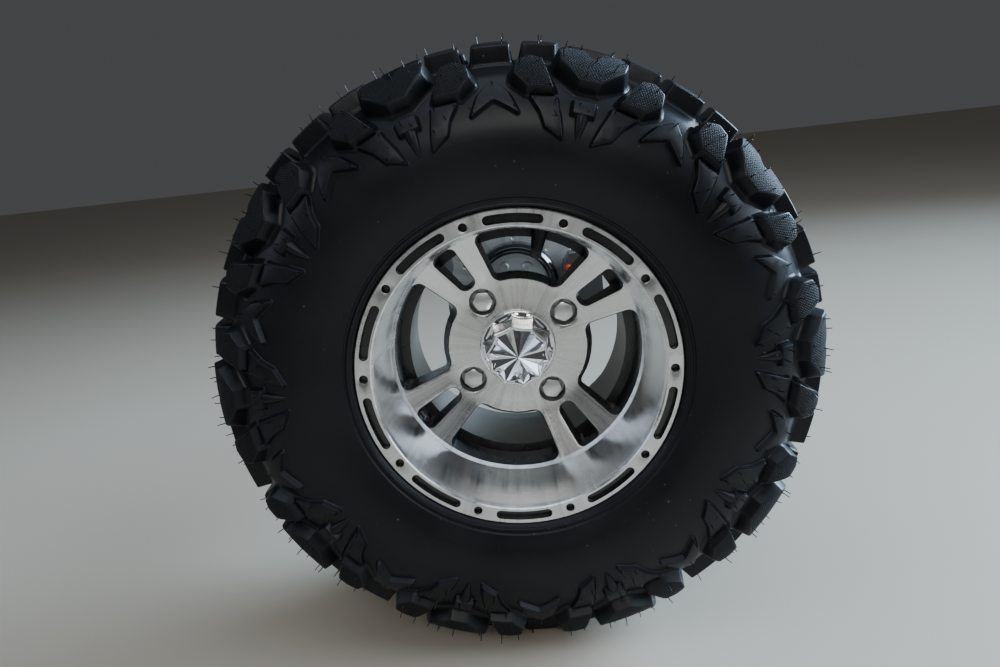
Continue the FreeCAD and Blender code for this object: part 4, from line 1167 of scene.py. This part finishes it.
        rings = []
        for turn in np.radians(ARC):
            flat = loop - push * lug.edge * (1 - math.sin(turn))
            rings.append((flat, lambda top, t=turn: top - lug.edge * (1 - math.cos(t))))
        top_here = self.tops(table, lug, self.fold(loop[:, 1], table)[0])
        spread = np.maximum(top_here - lug.edge - lug.foot, 0.0) * lug.draft
        rings.append((loop + push * spread[:, None], lambda top: np.minimum(top - lug.edge, lug.foot)))
        for degrees, sunk in ((25, 0.0), (50, 0.0), (75, 0.0), (90, self.sunk)):
            turn = math.radians(degrees)
            flat = loop + push * (spread + lug.foot * (1 - math.cos(turn)))[:, None]
            drop = lug.foot * (1 - math.sin(turn)) - sunk
            rings.append((flat, lambda top, d=drop: np.minimum(np.full(len(top), d), top - lug.edge)))
        inner = rings[0][0]
        low, high = inner.min(0), inner.max(0)
        xs, ys = (np.arange(low[k] + self.grid_step / 2, high[k], self.grid_step) for k in (0, 1))
        grid = np.array([(x, y) for x in xs for y in ys]).reshape(-1, 2)
        if len(grid):
            grid = grid[holds(loop - push * (lug.edge + 1.6), grid)]
        flat, faces = filled(inner, [], grid)
        mesh.add(lifted(flat, rings[0][1]), faces, int(lug.knurled), flat * MM)
        mesh.strip([lifted(flat, level) for flat, level in rings])
        return self.whisker_spots(loop, push, lug, lifted)

    def whisker_spots(self, loop: Loop, push: Loop, lug: Lug, lifted: Callable[..., np.ndarray]) -> np.ndarray:
        """Places of a lug's vent whiskers, spread along a line just inside its edge, and their directions."""
        inset = loop - push * (lug.edge + self.hair_inset)
        picks = np.arange(lug.whiskers) * len(inset) / lug.whiskers + 0.35 * len(inset) / lug.whiskers
        flat = inset[picks.astype(int) % len(inset)]
        foot = lifted(flat, lambda top: top - 0.3)
        return np.hstack([foot, unit(lifted(flat, lambda top: top + 1.0) - foot)])

    def fang(self, mesh: Mesh, table: Table) -> None:
        """Pointed rib under the small pad: a half cone, its point towards the rim."""
        start, end = self.reaching(table, table["radius"], self.fang_span)
        turn = np.radians(np.linspace(0, 180, 13))
        rows = []
        for share in np.linspace(0.02, 1.0, 12):
            half, tall = self.fang_half * share ** 0.56, self.fang_tall * share ** 0.62
            along = np.full(len(turn), start + (end - start) * share)
            radius = float(np.interp(along[0], table["along"], table["radius"]))
            rows.append(self.at(table, -half * np.cos(turn) / radius, along, tall * np.sin(turn) - 0.3))
        mesh.strip(rows, closed=False)

    def whiskers(self, spots: np.ndarray, sides: int) -> Mesh:
        """Vent whiskers: thin tapered hairs, bent a little, a few of them broken off short."""
        mesh = Mesh()
        chance = np.random.default_rng(self.seed)
        turn = turns(sides)[:, None]
        for spot in spots:
            foot, way = spot[:3], spot[3:]
            lean = chance.normal(0, self.hair_lean, 3)
            bend = chance.normal(0, self.hair_bend, 3)
            length = float(chance.uniform(*self.hair_length))
            if chance.random() < self.hair_broken:
                length = self.hair_stub
            first = np.cross(way, (0.0, 0.0, 1.0) if abs(way[2]) < 0.8 else (1.0, 0.0, 0.0))
            first /= np.linalg.norm(first)
            second = np.cross(way, first)
            loops = []
            for share in (0.0, 0.12, 0.4, 0.7, 1.0):
                centre = foot + length * share * (way + lean * 0.5 + bend * share * 0.5)
                radius = self.hair_root if share == 0 else self.hair_radius - 0.14 * share
                loops.append(centre + radius * (np.cos(turn) * first + np.sin(turn) * second))
            mesh.strip(loops)
            mesh.lid(loops[-1])
        return mesh

    def nubs(self, table: Table) -> Mesh:
        """Stubs of trimmed vents on the sidewall."""
        mesh = Mesh()
        chance = np.random.default_rng(self.seed + 1)
        side = slice(0, 500)
        for radius, count in ((156.0, 30), (166.0, 14), (175.0, 12), (188.0, 16), (193.0, 10)):
            for index in range(count):
                turn = 2 * np.pi * (index + chance.uniform(-0.2, 0.2)) / count
                where = radius + chance.uniform(-1.5, 1.5)
                along = float(np.interp(where, table["radius"][side], table["along"][side]))
                size = chance.uniform(0.45, 0.8)
                loops = []
                for share, tall in ((1.0, -0.2), (0.9, 0.35), (0.5, 0.7), (0.1, 0.8)):
                    ring = circle(size * share, 8)
                    loops.append(self.at(table, turn + ring[:, 0] / radius, along + ring[:, 1], tall * size))
                mesh.strip(loops)
        return mesh

    def carcass(self) -> Mesh:
        """Carcass with its beads, turned about the axle."""
        mesh = Mesh()
        side = self.base_profile()
        inside = [(143.4, 104.6), (131.9, 104.2), (126.5, 100.1), (126.5, 91.2), (134.0, 92.0), (160.0, 108.0),
                  (190.0, 118.0), (220.0, 114.0), (242.0, 99.0), (253.4, 60.0), (253.6, 0.0)]
        for line, segments, sense in ((side, self.segments, 1), (inside, self.inner_segments, -1)):
            whole = np.vstack([line, [(r, -w) for r, w in line[::-1][1:]]])
            mesh.lathe(whole[::sense], segments)
        return mesh

    def build(self) -> None:
        """Make the tyre and its whiskers."""
        table = self.tables()
        shoulder, crown = Mesh(), Mesh()
        spots: dict[bool, list[np.ndarray]] = {False: [], True: []}
        for lug in self.lugs():
            for sense in ((1, -1) if lug.paired else (1,)):
                spots[lug.single].append(self.raise_lug(crown if lug.single else shoulder, lug, table, sense))
        self.fang(shoulder, table)
        whole = self.carcass()
        all_hairs = []
        for index in range(self.pitches):
            x, y = polar(1.0, self.clock - WHEEL.clock + 360.0 / self.pitches * index)
            for pitch, hairs, senses in ((shoulder, spots[False], (1, -1)), (crown, spots[True], (1,))):
                for sense in senses:
                    matrix = np.diag([1.0, 1.0, sense, 1.0])
                    matrix[:2, :2] = [[x, -y], [y, x]]
                    whole.join(pitch, matrix)
                    rows = np.vstack(hairs)
                    all_hairs.append(np.hstack([part @ matrix[:3, :3].T for part in (rows[:, :3], rows[:, 3:])]))
        place = WHEEL.matrix() @ Matrix.Translation((0.0, 0.0, -self.middle * MM))
        mount(whole, "tyre_tread", [TREAD, KNURLED], ["tyre"], place, crease=46.0)
        mount(self.whiskers(np.vstack(all_hairs), 5), "tyre_whiskers", [TREAD], (), place)
        mount(self.nubs(table), "tyre_nubs", [TREAD], (), place)


# Centre cap, nuts and valve
@dataclass(frozen=True)
class CentreCap:
    """Chromed cap: round base, a boss with ten hollows, and a fluted crown."""

    base_radius: float = 36.5
    face_depth: float = 86.0
    boss_top: float = 29.6
    top: float = -50.0
    recess: float = 6.0
    points: int = 10
    per_point: int = 12
    hollow_depth: float = 0.088

    def outline(self, radius: float, depth: float = 1.0) -> Loop:
        """Boss outline at a height, the hollows between its points scaled by depth."""
        share = np.arange(self.per_point) / self.per_point
        scale = 1.0 - self.hollow_depth * np.sin(np.pi * share) ** 0.75 * depth
        return np.array([polar(radius * scale[step], 360.0 / self.points * (point + share[step]))
                         for point in range(self.points) for step in range(self.per_point)])

    def build(self) -> None:
        """Make the cap."""
        mesh = Mesh()
        face, top = -self.face_depth, self.top
        base = self.base_radius
        mesh.turned([(base, face), (base, face + 2.2, 0.9), (35.2, face + 2.9, 0.4), (34.0, face + 2.9)], 180)
        levels = [(34.6, face + 2.7, 0.25), (34.2, face + 3.4, 0.9), (33.6, face + 6.0, 1.0),
                  (31.9, face + 15.0, 1.0), (30.4, face + 26.0, 1.0), (self.boss_top, top - 1.0, 1.0),
                  (29.3, top - 0.35, 1.0),
                  (28.9, top, 1.0), (27.9, top, 1.0), (27.5, top - 0.4, 1.0), (27.3, top - 1.2, 1.0)]
        loops = [at_height(self.outline(radius, depth), height) for radius, height, depth in levels]
        mesh.strip(loops)
        self.crown(mesh, loops[-1])
        mount(mesh, "cap_chrome", [CHROME], ["centre_cap"], crease=24.0)

    def crown(self, mesh: Mesh, rim: np.ndarray) -> None:
        """Fluted cone inside the boss: ridges run from its middle to the boss's points."""
        half = self.per_point // 2
        apex = np.array([0.0, 0.0, self.top + 1.6])
        share = np.arange(len(rim)) % self.per_point / self.per_point
        edge = rim.copy()
        edge[:, 2] = self.top - self.recess + (self.recess - 1.4) * np.abs(2 * share - 1)
        mesh.strip([rim, edge])
        for first in range(0, len(rim), half):
            fan = np.vstack([[apex], edge[[(first + step) % len(rim) for step in range(half + 1)]]])
            mesh.add(fan, [(0, i + 1, i + 2) for i in range(half)])


@dataclass(frozen=True)
class WheelNuts:
    """Hexagon nuts with domed ends, one in each pocket of the face."""

    across: float = 17.0
    easing: float = 1.14
    circle_radius: float = 55.0
    top: float = -87.3
    floor: float = -98.0
    flange: float = 10.4
    dome: float = 0.016
    drop_start: float = 8.8
    drop: float = 0.4
    turned: tuple[float, ...] = (17.0, 42.0, 5.0, 33.0)
    steps: int = 96

    def nut(self, index: int) -> Mesh:
        """One nut, a hexagon with eased corners."""
        mesh = Mesh()
        x, y = polar(self.circle_radius, 45.0 + 90.0 * index)
        angles = np.arange(self.steps) * 360 / self.steps
        off = np.radians((angles + 30) % 60 - 30)
        side = np.minimum(self.across / 2 / np.cos(off), self.across / 2 * self.easing)
        turn = np.radians(angles + self.turned[index])
        loops = []
        for radius in (side * share for share in (0.18, 0.36, 0.54, 0.70, 0.82, 0.90, 0.96, 1.0)):
            dome = self.top - self.dome * radius ** 2 - np.maximum(radius - self.drop_start, 0) ** 2 * self.drop
            loops.append(around(radius, turn, dome, x, y))
        for radius, height in ((side, 2.0), (self.flange, 1.2), (self.flange, -0.4)):
            loops.append(around(radius, turn, self.floor + height, x, y))
        mesh.strip(loops)
        middle = np.array([[x, y, self.top]])
        fan = [(self.steps, i, (i + 1) % self.steps) for i in range(self.steps)]
        mesh.add(np.vstack([loops[0], middle]), fan)
        return mesh

    def build(self) -> None:
        """Make the nuts."""
        for index in range(len(self.turned)):
            mount(self.nut(index), f"nut_{index + 1}", [NUT_PLATING], [f"lug_nut_{index + 1}"], crease=30.0)


@dataclass(frozen=True)
class Valve:
    """Snap-in rubber valve with its cap, in the top window's outer wall."""

    angle: float = 87.0
    depth: float = 83.0
    wall: float = 116.3
    ribs: int = 24
    rib_height: float = 0.16

    def place(self) -> Matrix:
        """Frame whose z runs from the wall towards the axle."""
        x, y = polar(self.wall, self.angle)
        way = Vector((-x, -y, 0)).normalized()
        spun = WHEEL.matrix() @ Matrix.Rotation(math.radians(-WHEEL.clock), 4, "Z")
        matrix = spun @ Matrix.Translation(Vector((x, y, -self.depth)) * MM)
        return matrix @ way.to_track_quat("Z", "Y").to_matrix().to_4x4()

    def build(self) -> None:
        """Make the stem and the cap."""
        stem = Mesh()
        stem.turned([(0.0, -3.0), (8.0, -3.0, 0.5), (8.3, 0.2, 0.4), (8.0, 2.0, 1.0), (7.2, 7.0, 8.0),
                     (6.3, 14.0, 8.0), (5.8, 19.6, 0.8), (5.0, 20.4, 0.4), (3.4, 20.5), (0.0, 20.5)], 64)
        mount(stem, "valve_rubber_stem", [STEM_RUBBER], ["valve_stem"], self.place())
        cap = Mesh()
        turn = turns(self.ribs * 6)
        rib = self.rib_height * np.cos(turn * self.ribs)
        loops = [around(radius + share * rib, turn, height) for radius, height, share in
                 ((4.9, 20.2, 0.0), (5.1, 20.6, 1.0), (5.0, 26.4, 1.0), (4.5, 27.6, 0.3), (3.2, 28.2, 0))]
        cap.strip(loops)
        cap.lid(loops[-1])
        mount(cap, "valve_dust_cap", [BLACK_PLASTIC], ["valve_cap"], self.place(), 30.0)


# Brake
@dataclass(frozen=True)
class Brake:
    """Petal disc on its black cup, with the bolted plate inside it."""

    middle: float = -382.0
    thick: float = 4.0
    radius: float = 92.0
    valley: float = 83.0
    petals: int = 8
    phase: float = 20.0
    hole: float = 2.7
    bore: float = 40.0
    edge: float = 0.4
    shaft: float = 20.1
    plate_rise: float = 13.0
    bolt_circle: float = 29.0
    bolt_count: int = 6
    bolt_radius: float = 6.3
    bolt_socket: float = 2.3

    def disc_outline(self) -> Loop:
        """Outer edge with shallow hollows between broad petals."""
        turn = np.arange(0, 360, 1.25)
        wave = np.cos(np.radians((turn - self.phase) * self.petals))
        reach = self.valley + (self.radius - self.valley) * np.clip(wave * 1.35 + 0.5, 0, 1.0) ** 0.7
        smooth = np.convolve(np.concatenate([reach[-3:], reach, reach[:3]]), np.ones(7) / 7, "valid")
        way = np.radians(turn)
        return np.stack([smooth * np.cos(way), smooth * np.sin(way)], 1)

    def disc_holes(self) -> list[Loop]:
        """Drilled holes in slanting rows."""
        starts = [self.phase + 360 / self.petals * petal for petal in range(self.petals)]
        return [circle(self.hole, 24, *polar(radius, start + shift)) for start in starts
                for radius, shift in ((80.0, 0.0), (70.0, 13.5), (61.0, -9.0))]

    def disc(self) -> None:
        """Make the disc."""
        mesh = Mesh()
        outer, holes, edge = self.disc_outline(), self.disc_holes(), self.edge
        bore = circle(self.bore, 96)
        high, low = self.middle + self.thick / 2, self.middle - self.thick / 2
        for level in (high, low):
            mesh.cap(grown(outer, -edge), [bore, *[grown(hole, edge) for hole in holes]], level, 0)
        for loop, shift in [(outer, -edge), *[(hole, edge) for hole in holes]]:
            mesh.wall(loop, [(shift, high), (0.0, high - edge), (0.0, low + edge),
                             (shift, low)], 0)
        mesh.wall(bore, [(0, high), (0, low)], 0)
        mount(mesh, "petal_disc", [DISC_STEEL], ["brake_disc"], crease=30.0)

    def cup(self) -> None:
        """Make the cup, the plate inside it and its bolts."""
        face, shaft = self.middle + self.thick / 2, self.shaft
        top = face + self.plate_rise
        cup, plate, bolts = Mesh(), Mesh(), Mesh()
        profile = [(shaft, 0.0), (shaft, 8.0, 0.3), (43.0, 8.0, 1.0), (43.0, 20.5, 0.8), (45.2, 20.9, 0.6),
                   (45.6, 22.4, 0.6), (48.0, 24.0, 1.2), (51.0, 23.2, 2.5), (55.2, 16.0, 6.0), (56.0, 8.0, 3.0),
                   (56.0, 0.0, 0.5), (shaft, 0.0)]
        cup.turned([(r, face + z, *corner) for r, z, *corner in profile], 160, step=9.0)
        mount(cup, "cup_gloss", [CUP_PAINT], ["disc_hub"])
        plate.turned([(shaft, face + 8.0), (shaft, top, 0.6), (42.4, top, 0.8), (42.4, face + 8.0)], 128)
        mount(plate, "cup_plate", [PLATE_STEEL], ["disc_hub_plate"])
        for index in range(self.bolt_count):
            self.dome_bolt(bolts, *polar(self.bolt_circle, 8.0 + 360.0 / self.bolt_count * index), top)
        mount(bolts, "cup_bolts", [ZINC], ["disc_hub_bolts"], crease=30.0)

    def dome_bolt(self, mesh: Mesh, x: float, y: float, base: float) -> None:
        """Round-headed bolt with a hexagon socket."""
        turn = turns(36)
        socket = self.bolt_socket / np.cos(np.radians((np.degrees(turn) + 30) % 60 - 30))
        dome = ((1.0, 0.0), (1.0, 0.7), (0.95, 1.6), (0.82, 2.7), (0.66, 3.5))
        rows = [*[(self.bolt_radius * share, height) for share, height in dome], (socket, 3.6), (socket, 1.4)]
        loops = [around(radius, turn, base + height, x, y) for radius, height in rows]
        mesh.strip(loops)
        mesh.lid(loops[-1])

    def build(self) -> None:
        """Make the turning parts of the brake."""
        self.disc()
        self.cup()


# Castings and turned steel that keep the frame's own shapes
@dataclass(frozen=True)
class Softened:
    """A CAD node's own shape with its edges broken, as a casting or a turned part has them."""

    node: str
    finish: Finish
    body: str
    radius: float = 0.6
    angle: float = 32.0
    level: float = 0.6
    crease: float = 40.0

    def build(self) -> None:
        """Copy the node's mesh, clean it, round its edges and let the copy stand for it."""
        shape = bmesh.new()
        shape.from_mesh(frame["nodes"][self.node].data)
        bmesh.ops.remove_doubles(shape, verts=shape.verts, dist=WELD / 2)
        bmesh.ops.dissolve_limit(shape, angle_limit=math.radians(self.level), verts=shape.verts, edges=shape.edges)
        sharp = [edge for edge in shape.edges
                 if len(edge.link_faces) == 2 and edge.calc_face_angle(0.0) > math.radians(self.angle)]
        bmesh.ops.bevel(shape, geom=sharp, offset=self.radius * MM, offset_type="OFFSET", segments=2, profile=0.5,
                        affect="EDGES", clamp_overlap=True)
        data = bpy.data.meshes.new(self.node + "_finished")
        shape.to_mesh(data)
        shape.free()
        smoothed(data, self.crease)
        data.materials.append(self.finish.material())
        piece = linked(self.node + "_finished", data)
        piece.modifiers.new("normals", "WEIGHTED_NORMAL").keep_sharp = True
        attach(piece, self.body)
        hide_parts(self.node)
        LOG.info("%s: %d faces on %s", piece.name, len(data.polygons), self.body)


SOFTENED = [
    Softened("wheel_hub", HUB_PAINT, "wheel", 0.8),
    Softened("axle_shaft", AXLE_STEEL, "wheel", 0.25),
    Softened("axle_carrier", CARRIER_SKIN, "carrier", 1.6),
    Softened("bearing_left", BEARING_STEEL, "carrier", 0.25),
    Softened("bearing_right", BEARING_STEEL, "carrier", 0.25),
    Softened("caliper_bracket", BRACKET_PAINT, "carrier", 0.7),
    Softened("brake_caliper", CALIPER_SKIN, "carrier", 2.0),
    Softened("brake_pad_outer", LINING, "carrier", 0.4),
    Softened("brake_pad_inner", LINING, "carrier", 0.4),
    Softened("bleed_cap", ORANGE, "carrier", 0.4),
    *[Softened(f"wheel_stud_{i}", ZINC, "wheel", 0.3) for i in range(1, 5)],
]


# Room
@dataclass(frozen=True)
class Studio:
    """Floor, lights and the camera at the photograph's place."""

    camera_place: Place = (0.1116, -1.1939, 0.2247)
    camera_turns: Place = (15.07, 2.38, -6.46)
    focal_share: float = 0.842
    sensor: float = 36.0
    nearest: float = 0.01
    furthest: float = 60.0
    floor_size: float = 14.0
    surroundings: Tint = (0.86, 0.88, 0.92)
    surroundings_strength: float = 0.075
    cool: Tint = (0.72, 0.85, 1.0)
    cold: Tint = (0.55, 0.76, 1.0)
    warm: Tint = (1.0, 0.98, 0.95)

    def camera(self) -> None:
        """Place the camera from the three turns that fit the photograph."""
        tilt, pan, roll = (math.radians(turn) for turn in self.camera_turns)
        base = Matrix(((1, 0, 0), (0, 0, -1), (0, 1, 0)))
        right, down, ahead = (Matrix.Rotation(roll, 3, "Z") @ Matrix.Rotation(tilt, 3, "X")
                              @ Matrix.Rotation(pan, 3, "Y") @ base)
        data = bpy.data.cameras.new("photo_camera")
        data.sensor_width = self.sensor
        data.lens = self.focal_share * self.sensor
        data.clip_start, data.clip_end = self.nearest, self.furthest
        camera = linked("photo_camera", data)
        matrix = Matrix((right, -down, -ahead)).transposed().to_4x4()
        matrix.translation = self.camera_place
        camera.matrix_world = matrix
        bpy.context.scene.camera = camera

    def floor(self) -> None:
        """Pale floor under the tyre."""
        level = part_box("tyre")[0].z
        half = self.floor_size / 2
        data = bpy.data.meshes.new("floor")
        corners = [(x * half, y * half, level) for x, y in ((-1, -1), (1, -1), (1, 1), (-1, 1))]
        data.from_pydata(corners, [], [(0, 1, 2, 3)])
        data.materials.append(FloorTile("pale_floor", "").material())
        floor = linked("floor", data)

    def light(self, name: str, place: Place, aim: Place, size: tuple[float, float], power: float, colour: Tint,
              spread: float) -> None:
        """Soft rectangular light, its beam as wide as the spread in degrees."""
        data = bpy.data.lights.new(name, "AREA")
        data.shape = "RECTANGLE"
        data.size, data.size_y = size
        data.energy = power
        data.color = colour
        data.spread = math.radians(spread)
        light = linked(name, data)
        light.location = place
        light.rotation_mode = "QUATERNION"
        light.rotation_quaternion = (Vector(aim) - Vector(place)).to_track_quat("-Z", "Y")

    def world(self) -> None:
        """Even pale surroundings."""
        world = bpy.data.worlds.new("surroundings")
        world.use_nodes = True
        background = world.node_tree.nodes["Background"]
        background.inputs["Color"].default_value = rgba(self.surroundings)
        background.inputs["Strength"].default_value = self.surroundings_strength
        bpy.context.scene.world = world

    def build(self) -> None:
        """Set up the room."""
        self.camera()
        self.floor()
        self.world()
        wheel, behind = (0.095, -0.4, 0.0), (0.095, -0.45, 0.2)
        self.light("overhead", (0.2, -1.0, 2.6), wheel, (3.4, 2.6), 22.0, self.cool, 120.0)
        self.light("window", (3.0, -1.2, 1.2), wheel, (2.4, 2.2), 34.0, self.cool, 140.0)
        self.light("back_window", (3.0, 0.75, 1.2), behind, (2.6, 1.5), 74.0, self.cold, 70.0)
        self.light("side", (-2.6, -1.4, 1.3), wheel, (1.4, 1.6), 7.5, self.cool, 140.0)
        self.light("front", (0.2, -3.4, 1.9), wheel, (2.2, 1.0), 8.0, self.warm, 90.0)


def main() -> None:
    """Build the wheel, its axle and brake, and the room."""
    logging.basicConfig(level=logging.INFO, format="%(message)s")
    for part in (Studio(), Rim(), Tyre(), CentreCap(), WheelNuts(), Valve(), Brake(), *SOFTENED):
        part.build()


if __name__ == "__main__":
    main()
